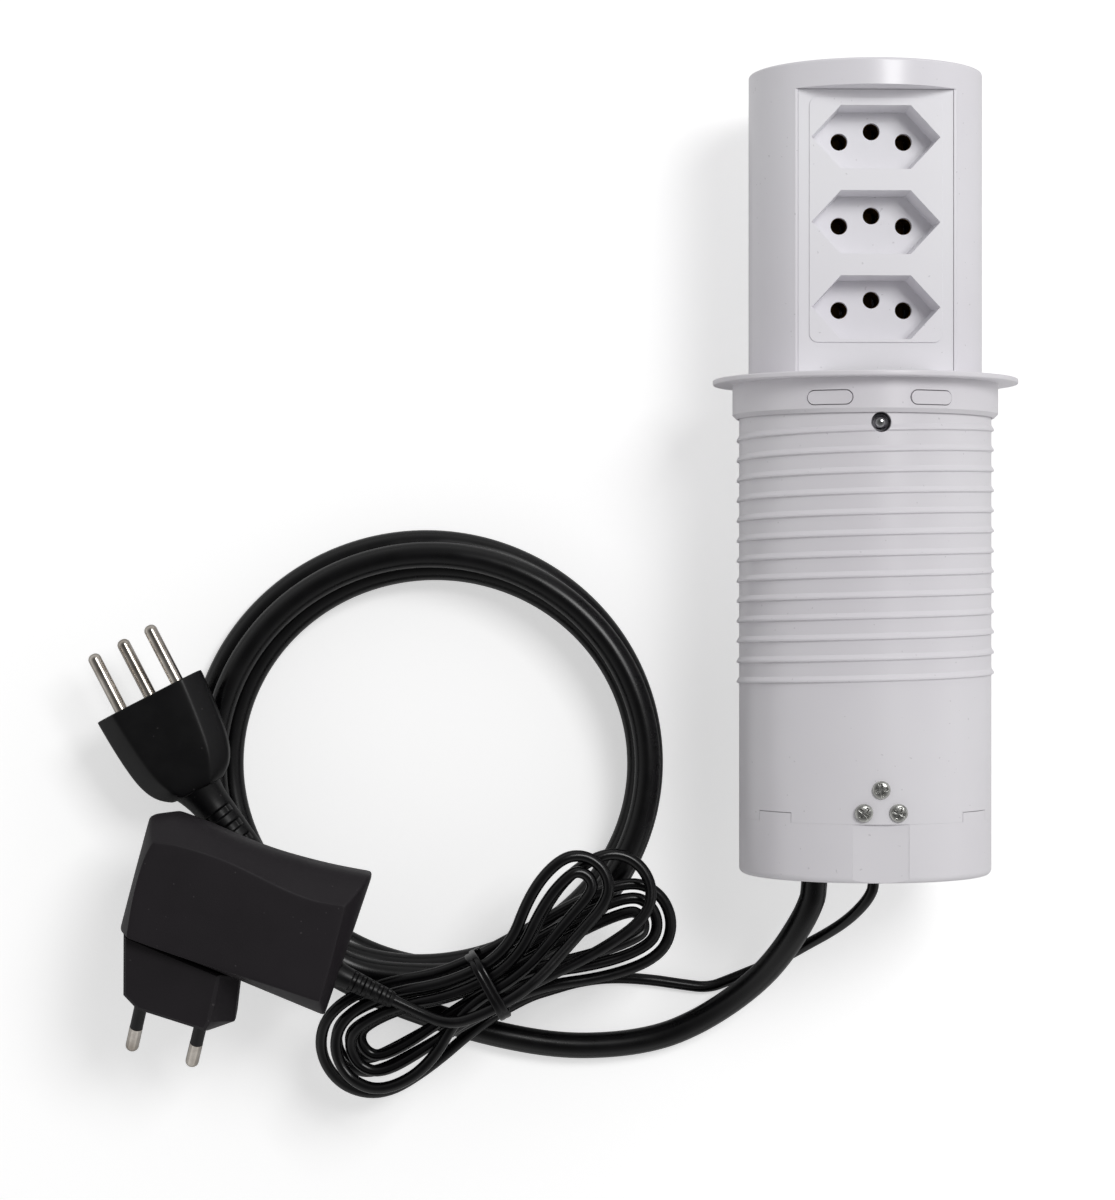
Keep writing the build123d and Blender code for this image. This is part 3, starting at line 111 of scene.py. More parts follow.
def mouldedPlastic(name, values):
    # Injection moulded plastic. The eye gets a nearly even colour with slow
    # clouding, the mould's fine spark texture as bump, handling marks in the gloss,
    # and a few specks of dust.
    material, tree = newMaterial(name)
    place = addNode(tree, "TexCoord").outputs["Object"]
    cloud = addNode(tree, "TexNoise", inputs={
        "Vector": place, "Scale": perSize(values["cloudMm"]), "Detail": 3.0})
    tint = addNode(tree, "ValToRGB", inputs={"Fac": cloud.outputs["Fac"]})
    tint.color_ramp.elements[0].position = 0.3
    tint.color_ramp.elements[0].color = toLinear(values["darkHex"])
    tint.color_ramp.elements[1].position = 0.7
    tint.color_ramp.elements[1].color = toLinear(values["lightHex"])
    speck = addNode(tree, "TexNoise", inputs={
        "Vector": place, "Scale": perSize(values["speckMm"]), "Detail": 0.0})
    speckMask = addNode(tree, "MapRange", inputs={
        "Value": speck.outputs["Fac"], "From Min": values["speckFrom"],
        "From Max": values["speckFrom"]+values["speckEdge"], "To Min": 0.0, "To Max": values["speckAmount"]})
    dusted = addNode(tree, "Mix", {"data_type": "RGBA"}, {
        0: speckMask.outputs["Result"], 6: tint.outputs["Color"], 7: toLinear(values["speckHex"])})
    handled = addNode(tree, "TexNoise", inputs={
        "Vector": place, "Scale": perSize(values["markMm"]), "Detail": 4.0})
    rough = addNode(tree, "MapRange", inputs={
        "Value": handled.outputs["Fac"], "From Min": 0.3, "From Max": 0.7,
        "To Min": values["roughLow"], "To Max": values["roughHigh"]})
    grain = addNode(tree, "TexNoise", inputs={
        "Vector": place, "Scale": perSize(values["grainMm"]), "Detail": 2.0})
    wave = addNode(tree, "TexNoise", inputs={
        "Vector": place, "Scale": perSize(values["waveMm"]), "Detail": 0.0})
    softEdge = addNode(tree, "Bevel", {"samples": 4}, {"Radius": values["edgeMm"]*mm})
    slow = addNode(tree, "Bump", inputs={
        "Height": wave.outputs["Fac"], "Strength": values["waveStrength"],
        "Distance": values["waveDepth"]*mm, "Normal": softEdge.outputs["Normal"]})
    fine = addNode(tree, "Bump", inputs={
        "Height": grain.outputs["Fac"], "Strength": values["grainStrength"],
        "Distance": values["grainDepth"]*mm, "Normal": slow.outputs["Normal"]})
    shader = addNode(tree, "BsdfPrincipled", inputs={
        "Base Color": dusted.outputs[2], "Roughness": rough.outputs["Result"],
        "Normal": fine.outputs["Normal"], "IOR": values["ior"], "Specular IOR Level": values["specular"],
        "Coat Weight": values["coat"], "Coat Roughness": 0.12})
    return finishMaterial(material, tree, shader)


housingValues = {
    "lightHex": "#EBE9ED", "darkHex": "#E5E2E7", "cloudMm": 60.0, "speckMm": 1.1, "speckFrom": 0.84,
    "speckEdge": 0.02, "speckAmount": 0.30, "speckHex": "#A5A1A6", "markMm": 26.0, "roughLow": 0.29,
    "roughHigh": 0.32, "grainMm": 0.35, "grainStrength": 0.12, "grainDepth": 0.02, "waveMm": 22.0,
    "waveStrength": 0.15, "waveDepth": 0.08, "ior": 1.54, "specular": 0.55, "coat": 0.0, "edgeMm": 0.16}
towerValues = dict(housingValues, lightHex="#EEECF1", darkHex="#E8E5EB", roughLow=0.29, roughHigh=0.31,
                   grainStrength=0.06, coat=0.15)
panelValues = dict(towerValues, lightHex="#F0EFF3", darkHex="#EBE9EE", roughLow=0.31, roughHigh=0.35)
innerValues = dict(housingValues, lightHex="#D9D7D8", darkHex="#CFCDCE", roughLow=0.5, roughHigh=0.62)
adapterValues = {
    "lightHex": "#1B161B", "darkHex": "#151115", "cloudMm": 30.0, "speckMm": 1.2, "speckFrom": 0.84,
    "speckEdge": 0.02, "speckAmount": 0.3, "speckHex": "#5A5658", "markMm": 9.0, "roughLow": 0.5,
    "roughHigh": 0.58, "grainMm": 0.45, "grainStrength": 0.45, "grainDepth": 0.05, "waveMm": 14.0,
    "waveStrength": 0.2, "waveDepth": 0.1, "ior": 1.54, "specular": 0.28, "coat": 0.0, "edgeMm": 0.25}
plugValues = dict(adapterValues, lightHex="#080709", darkHex="#050506", roughLow=0.34, roughHigh=0.42,
                  grainStrength=0.3, markMm=6.0, ior=1.50)
padValues = dict(adapterValues, lightHex="#2B2A2C", darkHex="#232224", roughLow=0.6, roughHigh=0.72)

housingAbs = mouldedPlastic("satinWhiteAbs", housingValues)
towerAbs = mouldedPlastic("glossWhiteAbs", towerValues)
panelAbs = mouldedPlastic("panelWhiteAbs", panelValues)
innerNylon = mouldedPlastic("innerWhiteNylon", innerValues)
adapterAbs = mouldedPlastic("sparkTexturedBlackAbs", adapterValues)
plugPvc = mouldedPlastic("mouldedBlackPvc", plugValues)
padRubber = mouldedPlastic("chargingPadRubber", padValues)


def extrudedPvc(name, values):
    # Extruded flexible PVC: dark and smooth, with a faint grain from the die and the
    # soft wax bloom that dulls the gloss in patches.
    material, tree = newMaterial(name)
    place = addNode(tree, "TexCoord").outputs["Object"]
    bloom = addNode(tree, "TexNoise", inputs={
        "Vector": place, "Scale": perSize(values["bloomMm"]), "Detail": 3.0})
    tint = addNode(tree, "ValToRGB", inputs={"Fac": bloom.outputs["Fac"]})
    tint.color_ramp.elements[0].position = 0.35
    tint.color_ramp.elements[0].color = toLinear(values["darkHex"])
    tint.color_ramp.elements[1].position = 0.75
    tint.color_ramp.elements[1].color = toLinear(values["lightHex"])
    rough = addNode(tree, "MapRange", inputs={
        "Value": bloom.outputs["Fac"], "From Min": 0.3, "From Max": 0.7,
        "To Min": values["roughLow"], "To Max": values["roughHigh"]})
    grain = addNode(tree, "TexNoise", inputs={
        "Vector": place, "Scale": perSize(values["grainMm"]), "Detail": 2.0})
    bump = addNode(tree, "Bump", inputs={
        "Height": grain.outputs["Fac"], "Strength": values["grainStrength"],
        "Distance": values["grainDepth"]*mm})
    shader = addNode(tree, "BsdfPrincipled", inputs={
        "Base Color": tint.outputs["Color"], "Roughness": rough.outputs["Result"],
        "Normal": bump.outputs["Normal"], "IOR": 1.53, "Specular IOR Level": 0.32})
    return finishMaterial(material, tree, shader)


cordValues = {
    "darkHex": "#030304", "lightHex": "#080709", "bloomMm": 9.0, "roughLow": 0.24, "roughHigh": 0.32,
    "grainMm": 0.9, "grainStrength": 0.15, "grainDepth": 0.03}
cordPvc = extrudedPvc("extrudedBlackPvc", cordValues)
thinPvc = extrudedPvc("thinCordBlackPvc", dict(
    cordValues, roughLow=0.2, roughHigh=0.28, bloomMm=5.0, grainMm=0.6))
brownPvc = extrudedPvc("hookUpBrownPvc", dict(cordValues, darkHex="#5A3418", lightHex="#6B4022"))
bluePvc = extrudedPvc("hookUpBluePvc", dict(cordValues, darkHex="#1C4F9C", lightHex="#2A62B4"))
greenPvc = extrudedPvc("hookUpGreenPvc", dict(cordValues, darkHex="#2B7A35", lightHex="#3C8F45"))
grommetPvc = extrudedPvc("grommetPvc", dict(cordValues, roughLow=0.4, roughHigh=0.55))


def platedMetal(name, values):
    # Turned or pressed metal with a thin plated skin: fine tool marks, slightly
    # uneven gloss, and darker handling stains.
    material, tree = newMaterial(name)
    place = addNode(tree, "TexCoord").outputs["Object"]
    stain = addNode(tree, "TexNoise", inputs={
        "Vector": place, "Scale": perSize(values["stainMm"]), "Detail": 4.0})
    tint = addNode(tree, "ValToRGB", inputs={"Fac": stain.outputs["Fac"]})
    tint.color_ramp.elements[0].position = 0.3
    tint.color_ramp.elements[0].color = toLinear(values["darkHex"])
    tint.color_ramp.elements[1].position = 0.65
    tint.color_ramp.elements[1].color = toLinear(values["lightHex"])
    lines = addNode(tree, "TexNoise", inputs={
        "Vector": place, "Scale": perSize(values["lineMm"]), "Detail": 3.0})
    rough = addNode(tree, "MapRange", inputs={
        "Value": lines.outputs["Fac"], "From Min": 0.3, "From Max": 0.7,
        "To Min": values["roughLow"], "To Max": values["roughHigh"]})
    bump = addNode(tree, "Bump", inputs={
        "Height": lines.outputs["Fac"], "Strength": values["lineStrength"],
        "Distance": values["lineDepth"]*mm})
    shader = addNode(tree, "BsdfPrincipled", inputs={
        "Base Color": tint.outputs["Color"], "Metallic": 1.0,
        "Roughness": rough.outputs["Result"], "Normal": bump.outputs["Normal"]})
    return finishMaterial(material, tree, shader)


nickelValues = {
    "darkHex": "#A39B92", "lightHex": "#C9C3BB", "stainMm": 5.0, "lineMm": 0.5,
    "roughLow": 0.16, "roughHigh": 0.26, "lineStrength": 0.05, "lineDepth": 0.02}
nickelPlate = platedMetal("nickelPlatedBrass", nickelValues)
zincPlate = platedMetal("zincPlatedSteel", dict(
    nickelValues, darkHex="#8F8F8C", lightHex="#C9C9C5", stainMm=1.6, roughLow=0.2, roughHigh=0.32))
ballSteel = platedMetal("polishedBallSteel", dict(
    nickelValues, darkHex="#8C8C8E", lightHex="#C4C4C6", roughLow=0.05, roughHigh=0.1, lineStrength=0.03))
contactBrass = platedMetal("stampedBrass", dict(
    nickelValues, darkHex="#3A2C14", lightHex="#5F4822", roughLow=0.35, roughHigh=0.5))
coilCopper = platedMetal("enamelledCopper", dict(
    nickelValues, darkHex="#8C4A26", lightHex="#B96A3A", roughLow=0.3, roughHigh=0.42))
coreIron = platedMetal("laminatedIron", dict(
    nickelValues, darkHex="#4A4B4D", lightHex="#6B6C6F", roughLow=0.45, roughHigh=0.6))
boardGlass = mouldedPlastic("solderMaskedBoard", dict(
    adapterValues, lightHex="#1F6A3C", darkHex="#185630", roughLow=0.35, roughHigh=0.45))
print("materials made")


def dressNode(name, material):
    target = nodes[name]
    if not target.material_slots:
        target.data.materials.append(material)
    for materialSlot in target.material_slots:
        materialSlot.link = "OBJECT"
        materialSlot.material = material


nodeFinishes = [
    (housingAbs, ["flange_ring", "threaded_sleeve", "base_cap"]),
    (towerAbs, ["tower_shell", "tower_foot", "bottom_plate"]),
    (panelAbs, ["socket_panel"]),
    (innerNylon, ["cord_anchor", "anchor_clamp_bar", "contact_carrier", "detent_plug"]),
    (padRubber, ["charging_pad", "friction_ring"]),
    (coilCopper, ["charging_coil"]),
    (boardGlass, ["charger_board", "adapter_board"]),
    (coreIron, ["adapter_transformer"]),
    (contactBrass, ["line_contacts", "neutral_contacts", "earth_contacts"]),
    (zincPlate, ["anchor_clamp_screws", "carrier_screws", "foot_screws", "detent_spring"]),
    (ballSteel, ["detent_ball"]),
    (nickelPlate, ["mains_plug_pins", "adapter_pins"]),
    (grommetPvc, ["mains_grommet", "adapter_grommet", "tower_gland"]),
    (brownPvc, ["line_lead"]),
    (bluePvc, ["neutral_lead"]),
    (greenPvc, ["earth_lead"]),
    (cordPvc, ["charger_lead"]),
    (plugPvc, ["adapter_pin_sleeves"]),
    (adapterAbs, ["adapter_pin_block"]),
]
for finish, names in nodeFinishes:
    for nodeName in names:
        dressNode(nodeName, finish)
print("CAD nodes dressed")


def linkMesh(name, build, material, solid=True):
    # A solid gets its faces turned outward and smooth shading
    if solid:
        bmesh.ops.recalc_face_normals(build, faces=build.faces[:])
    build.normal_update()
    mesh = bpy.data.meshes.new(name)
    build.to_mesh(mesh)
    build.free()
    mesh.materials.append(material)
    for face in mesh.polygons:
        face.use_smooth = solid
    piece = bpy.data.objects.new(name, mesh)
    scene.collection.objects.link(piece)
    return piece


def skinRings(build, rings, capFirst=True):
    # Faces between neighbouring rings of corners, then one over each end
    count = len(rings[0])
    for first, second in zip(rings, rings[1:]):
        for step in range(count):
            follow = (step+1) % count
            build.faces.new((first[step], first[follow], second[follow], second[step]))
    if capFirst:
        build.faces.new(rings[0][::-1])
    build.faces.new(rings[-1])


def linkCord(name, points, radius, material):
    curve = bpy.data.curves.new(name, "CURVE")
    curve.dimensions = "3D"
    curve.bevel_depth = radius*mm
    curve.bevel_resolution = 6
    curve.resolution_u = 8
    curve.use_fill_caps = True
    spline = curve.splines.new("NURBS")
    spline.points.add(len(points)-1)
    for point, place in zip(spline.points, points):
        point.co = (*(Vector(place)*mm), 1.0)
    spline.order_u = 3
    spline.use_endpoint_u = True
    curve.materials.append(material)
    piece = bpy.data.objects.new(name, curve)
    scene.collection.objects.link(piece)
    return piece


# Mains cord: out of the base, down to the floor, nearly three turns in a ring,
# then over the ring into the plug's relief
mainsCord = {
    "radius": 4.0, "length": 1.53, "exit": (-13.0, -87.4, 31.4),
    "toRing": [
        (-13.0, -87.4, 31.4), (-13.0, -124.6, 31.4), (-15.2, -131.4, 30.2), (-18.5, -138.2, 27.0),
        (-22.4, -145.2, 22.4), (-27.1, -152.0, 17.2), (-32.8, -158.0, 12.4), (-39.8, -163.8, 8.4),
        (-48.2, -169.2, 5.4), (-58.4, -173.6, 4.0), (-72.6, -176.0, 4.0), (-90.0, -176.2, 4.0),
        (-110.0, -172.6, 4.0), (-129.0, -167.0, 4.0), (-146.0, -160.6, 4.0), (-160.0, -153.6, 4.0)],
    "ringCentre": (-130.0, -88.0, 0.0), "semiX": 67.0, "semiY": 64.9, "turns": 2.9, "startDegrees": 225.0,
    "fan": 4.55, "squeeze": 1.8, "pitch": 9.1, "blendTurns": 0.25, "heightWindow": 0.06, "windowSteps": 4,
    "perTurn": 24, "turnStep": 0.02, "lead": 12.0,
    "toPlug": [(-161.0, -145.6, 22.4), (-169.2, -137.0, 22.8)],
    "reliefStart": (-199.0, -96.2, 24.0), "reliefDirection": (0.60, -0.79, -0.03), "reliefLong": 28.0}


def smoothStep(share):
    share = min(max(share, 0.0), 1.0)
    return share*share*(3-2*share)


def ringOffset(turn):
    # How far out of the ring's middle line each turn lies: out, in, then on it
    angle = math.radians(mainsCord["startDegrees"])-2*math.pi*turn
    spread = mainsCord["fan"]-(mainsCord["fan"]-mainsCord["squeeze"])*((1+math.cos(angle))/2)**2
    blend = mainsCord["blendTurns"]
    if turn < 1:
        return spread*(1-2*smoothStep((turn-1+blend)/blend))
    if turn < 2:
        return -spread*(1-smoothStep((turn-2+blend)/blend))
    return 0.0


def stackHeight(turn):
    # A turn rests on the floor or on the turns below it
    height = mainsCord["radius"]
    below = turn-1
    while below >= 0:
        apart = abs(ringOffset(turn)-ringOffset(below))
        if apart < mainsCord["pitch"]:
            height = max(height, stackHeight(below)+math.sqrt(mainsCord["pitch"]**2-apart**2))
        below -= 1
    return height


def ringPoint(turn):
    angle = math.radians(mainsCord["startDegrees"])-2*math.pi*turn
    outward = ringOffset(turn)
    steps = mainsCord["windowSteps"]
    near = [
        stackHeight(max(turn+mainsCord["heightWindow"]*step/steps, 0)) for step in range(-steps, steps+1)]
    height = (max(near)+sum(near)/len(near))/2
    x = (mainsCord["semiX"]+outward)*math.cos(angle)
    y = (mainsCord["semiY"]+outward)*math.sin(angle)
    return Vector(mainsCord["ringCentre"])+Vector((x, y, height))


turnStep = mainsCord["turnStep"]
ringStart = ringPoint(0)
ringIn = (ringPoint(turnStep)-ringStart).normalized()
ringEnd = ringPoint(mainsCord["turns"])
ringOut = (ringPoint(mainsCord["turns"]+turnStep)-ringPoint(mainsCord["turns"]-turnStep)).normalized()
reliefStart = Vector(mainsCord["reliefStart"])
reliefDirection = Vector(mainsCord["reliefDirection"]).normalized()
reliefEnd = reliefStart+reliefDirection*mainsCord["reliefLong"]
mainsPoints = list(mainsCord["toRing"])
mainsPoints.append(ringStart-ringIn*mainsCord["lead"])
ringCount = round(mainsCord["turns"]*mainsCord["perTurn"])
for index in range(ringCount+1):
    mainsPoints.append(ringPoint(mainsCord["turns"]*index/ringCount))
mainsPoints.append(ringEnd+ringOut*mainsCord["lead"])
mainsPoints += mainsCord["toPlug"]
mainsPoints.append(reliefEnd+reliefDirection*mainsCord["lead"])
mainsPoints.append(reliefStart)
mainsCable = linkCord("mainsCord", mainsPoints, mainsCord["radius"], cordPvc)
print("mains cord laid")

# Thin cord: out of the base, along the floor, folded in a tied hank, then into the adapter
thinCord = {
    "radius": 1.75, "length": 1.58, "exit": (5.0, -87.4, 31.4),
    "toHank": [
        (5.0, -87.4, 31.4), (5.0, -123.2, 31.4), (3.3, -127.8, 30.4), (0.1, -132.2, 27.6),
        (-3.7, -136.2, 23.8), (-8.3, -139.9, 19.4), (-13.3, -143.3, 15.2), (-18.3, -146.7, 11.6),
        (-23.8, -150.0, 8.2), (-30.0, -152.9, 5.0), (-36.8, -156.0, 2.6), (-43.4, -158.6, 1.75),
        (-51.8, -157.5, 1.75), (-62.0, -155.9, 1.75), (-74.0, -155.2, 1.75), (-84.0, -156.4, 2.4),
        (-92.5, -158.6, 4.6)],
    "lead": 7.0, "tailMiddle": (-124.6, -163.6, 48.0),
    "reliefStart": (-156.45, -148.87, 46.4), "reliefDirection": (0.90, -0.436, 0.0), "reliefLong": 17.5}
hank = {
    "tie": (-112.3, -152.7, 0.0), "degrees": 28.0, "low": 30.0, "step": 4.05, "rise": 4.3,
    "dropLeft": 10.0, "dropRight": 2.5, "flatRight": 30.0, "reach": 58.0,
    "entryHeight": 9.5, "entrySlope": 0.3, "slopeShare": 0.9, "firstHeights": [13.0, 19.0, 27.5],
    # side, turn in degrees, reach, half width, levels at its start, tip and end
    "lobes": [
        (-1, 2, 56.1, 16.2, 0, 0, 0), (1, -6.7, 58.5, 12.5, 0, 0, 0), (-1, -1, 50.5, 9.8, 0, 0, 0),
        (1, -6.7, 54.3, 8.2, 0, 0, 0), (-1, -1, 46.3, 5.6, 0, 0, 0), (1, -6.7, 50.1, 4.0, 0, 0.5, 1),
        (-1, -1, 42.5, 5.5, 1.3, 1.65, 2.1), (1, 8, 57.5, 12.0, 2, 2, 2),
        (-1, 1, 46.0, 8.2, 2.2, 2.7, 3.15), (1, 20, 44.0, 4.4, 3.1, 3.1, 3.1),
        (-1, 1, 50.5, 12.8, 3.35, 3.3, 3.1), (1, 20, 48.7, 9.6, 3.1, 3.1, 3.1)],
    # place across the tie and level
    "waists": [
        (-3.1, 0), (2, 0), (-2, 0), (1, 0), (-1, 0), (0, 0), (-0.5, 1),
        (0.5, 2), (-1.5, 2), (0.5, 3), (-0.5, 3), (1.5, 3), (-1.5, 4.1)]}


def levelHeading(degrees):
    turn = math.radians(degrees)
    return Vector((math.cos(turn), math.sin(turn), 0))


def hankHeight(side, reach, level):
    if side > 0:
        beyond = max(0, (reach-hank["flatRight"])/(hank["reach"]-hank["flatRight"]))
        drop = hank["dropRight"]*beyond**1.5
    else:
        drop = hank["dropLeft"]*min(reach/hank["reach"], 1)**2
    return hank["low"]-drop+level*hank["rise"]


hankAlong = levelHeading(hank["degrees"])
hankAcross = levelHeading(hank["degrees"]+90)
tiePlace = Vector(hank["tie"])
hankPlaces = []
for (side, fan, reach, half, *levels), (across, level) in zip(hank["lobes"], hank["waists"]):
    waistHeight = hank["entryHeight"] if not hankPlaces else hankHeight(side, 0, level)
    hankPlaces.append((tiePlace+hankAcross*across*hank["step"]+Vector((0, 0, waistHeight)), hankAlong*side))
    out = levelHeading(hank["degrees"]+fan)*side
    left = levelHeading(hank["degrees"]+fan+90)*side
    wide = reach-half
    lobe = [(wide, half, out, levels[0]), (reach, 0, -left, levels[1]), (wide, -half, -out, levels[2])]
    for distance, sideways, direction, lobeLevel in lobe:
        height = Vector((0, 0, hankHeight(side, distance, lobeLevel)))
        hankPlaces.append((tiePlace+out*distance+left*sideways+height, direction))
for index, height in enumerate(hank["firstHeights"]):
    place, direction = hankPlaces[index+1]
    hankPlaces[index+1] = (Vector((place.x, place.y, height)), direction)
across, level = hank["waists"][-1]
lastHeight = Vector((0, 0, hankHeight(1, 0, level)))
hankPlaces.append((tiePlace+hankAcross*across*hank["step"]+lastHeight, -hankAlong))
hankNodes = []
for index, (place, direction) in enumerate(hankPlaces):
    slope = hank["entrySlope"] if index == 0 else 0
    if 0 < index < len(hankPlaces)-1:
        before = hankPlaces[index-1][0]
        after = hankPlaces[index+1][0]
        run = (before-place).to_2d().length+(after-place).to_2d().length
        slope = hank["slopeShare"]*(after.z-before.z)/run
    hankNodes.append((place, (direction+Vector((0, 0, slope))).normalized()))

# The line between two places of the hank bends at two corners, one on each
# place's own direction, and the cord's spline takes those corners
hankCorners = []
for (start, startDirection), (end, endDirection) in zip(hankNodes, hankNodes[1:]):
    span = end-start
    both = span.dot(startDirection+endDirection)
    facing = 2*(1-startDirection.dot(endDirection))
    if facing < 1e-9:
        cornerReach = span.dot(span)/(4*span.dot(startDirection))
    else:
        cornerReach = (math.sqrt(both**2+facing*span.dot(span))-both)/facing
    hankCorners += [start+startDirection*cornerReach, end-endDirection*cornerReach]
hankStart, hankIn = hankNodes[0]
hankEnd, hankOut = hankNodes[-1]
thinReliefStart = Vector(thinCord["reliefStart"])
thinReliefDirection = Vector(thinCord["reliefDirection"]).normalized()
thinReliefEnd = thinReliefStart+thinReliefDirection*thinCord["reliefLong"]
thinPoints = list(thinCord["toHank"])
thinPoints.append(hankStart-hankIn*thinCord["lead"])
thinPoints += hankCorners
thinPoints.append(hankEnd+hankOut*thinCord["lead"])
thinPoints.append(thinCord["tailMiddle"])
thinPoints.append(thinReliefEnd+thinReliefDirection*thinCord["lead"])
thinPoints.append(thinReliefStart)
thinCable = linkCord("thinCord", thinPoints, thinCord["radius"], thinPvc)
print("thin cord laid")


def reliefSleeve(name, start, direction, values, material):
    # Tapered sleeve with pockets let into its top and bottom, so that it bends
    side = direction.cross(Vector((0, 0, 1))).normalized()
    upward = side.cross(direction).normalized()
    build = bmesh.new()
    rings = []
    for station in range(values["stations"]+1):
        share = station/values["stations"]
        middle = start+direction*(share*values["long"]-values["sunk"]*(1-share))
        radius = values["big"]+(values["small"]-values["big"])*share
        radius -= values["endRound"]*max(0.0, share-values["endFrom"])/(1-values["endFrom"])
        radius += values["neck"]*max(0.0, 1-share/values["neckShare"])**2
        pocket = 0.0
        if values["plain"] < share < values["pocketsTo"]:
            phase = (share-values["plain"])/(values["pocketsTo"]-values["plain"])*values["pockets"] % 1
            edge = min(phase-values["pocketSpan"][0], values["pocketSpan"][1]-phase)
            pocket = smoothStep(edge/values["pocketSoft"]) if edge > 0 else 0.0
        ring = []
        for step in range(values["around"]):
            angle = 2*math.pi*step/values["around"]
            upShare = abs(math.sin(angle))
            depth = pocket*values["deep"]*smoothStep((upShare-values["pocketEdge"])/values["edgeSoft"])
            spot = middle+(side*math.cos(angle)+upward*math.sin(angle))*(radius-depth)
            ring.append(build.verts.new(spot*mm))
        rings.append(ring)
    skinRings(build, rings)
    return linkMesh(name, build, material)


# Shares run from the thick end, and a pocket's span is a share of its pitch
mainsReliefValues = {
    "long": mainsCord["reliefLong"], "big": 6.3, "small": 4.9, "stations": 140, "around": 72,
    "endRound": 0.5, "endFrom": 0.94, "neck": 1.7, "neckShare": 0.3, "sunk": 4.0, "plain": 0.30,
    "pockets": 4, "pocketsTo": 0.97, "pocketSpan": (0.18, 0.72), "pocketSoft": 0.07, "deep": 1.3,
    "pocketEdge": 0.55, "edgeSoft": 0.12}
thinReliefValues = dict(
    mainsReliefValues, long=thinCord["reliefLong"], big=3.5, small=2.5, stations=110, endRound=0.3,
    neck=0.4, neckShare=0.2, sunk=1.0, plain=0.22, pockets=5, deep=0.6, pocketEdge=0.2)
mainsRelief = reliefSleeve("mainsPlugRelief", reliefStart, reliefDirection, mainsReliefValues, plugPvc)
thinRelief = reliefSleeve("adapterRelief", thinReliefStart, thinReliefDirection, thinReliefValues, plugPvc)


def loftRows(name, rows, material, levels=2):
    # Softened skin over closed rows of points that have the same count
    build = bmesh.new()
    skinRings(build, [[build.verts.new(Vector(point)*mm) for point in row] for row in rows])
    piece = linkMesh(name, build, material)
    soften = piece.modifiers.new("soften", "SUBSURF")
    soften.levels = levels
    soften.render_levels = levels
    return piece


# Mains plug: a moulded block that is widest at its pins, with a flat face and
# sloped flanks on both broad sides
mainsPlug = {
    "origin": (-215.2, -66.5, 24.4), "outward": (-0.459, 0.888, 0.0), "halfThick": 8.25, "flankShare": 0.42,
    "edgeRound": (0.5, 0.25), "flankBulge": 0.3, "sideRound": (0.4, 0.2), "sideDrop": 0.5,
    # distance back from the pins, half width, half width of the flat face, share of the thickness
    "stations": [
        (0.0, 17.2, 11.2, 0.96), (0.25, 17.4, 11.4, 1.0), (1.2, 17.4, 11.4, 1.0), (11.0, 16.9, 10.6, 1.0),
        (19.0, 16.0, 9.6, 1.0), (23.0, 15.2, 8.9, 1.0), (27.0, 13.8, 7.6, 0.99), (30.0, 11.6, 6.0, 0.96),
        (32.0, 8.8, 4.6, 0.89), (32.5, 7.6, 4.0, 0.83)]}
plugOrigin = Vector(mainsPlug["origin"])
plugOutward = Vector(mainsPlug["outward"]).normalized()
plugAcross = Vector((0, 0, 1)).cross(plugOutward)


def plugOutline(halfWide, halfFlat, high):
    # The block's section, mirrored from the quarter between its top and its side
    flank = high*mainsPlug["flankShare"]
    edgeOut, edgeDown = mainsPlug["edgeRound"]
    sideIn, sideUp = mainsPlug["sideRound"]
    quarter = [
        (0, high), (halfFlat*0.5, high), (halfFlat, high), (halfFlat+edgeOut, high-edgeDown),
        ((halfFlat+halfWide)/2, (high+flank)/2+mainsPlug["flankBulge"]), (halfWide-sideIn, flank+sideUp),
        (halfWide, flank-mainsPlug["sideDrop"]), (halfWide, 0)]
    topLeft = [(-across, up) for across, up in quarter]
    bottomLeft = [(-across, -up) for across, up in quarter[-2::-1]]
    bottomRight = [(across, -up) for across, up in quarter[1:]]
    topRight = quarter[-2:0:-1]
    return topLeft+bottomLeft+bottomRight+topRight


plugRows = []
for back, halfWide, halfFlat, share in mainsPlug["stations"]:
    plugRows.append([
        plugOrigin-plugOutward*back+plugAcross*across+Vector((0, 0, up))
        for across, up in plugOutline(halfWide, halfFlat, mainsPlug["halfThick"]*share)])
plugBody = loftRows("mainsPlugBody", plugRows, plugPvc)

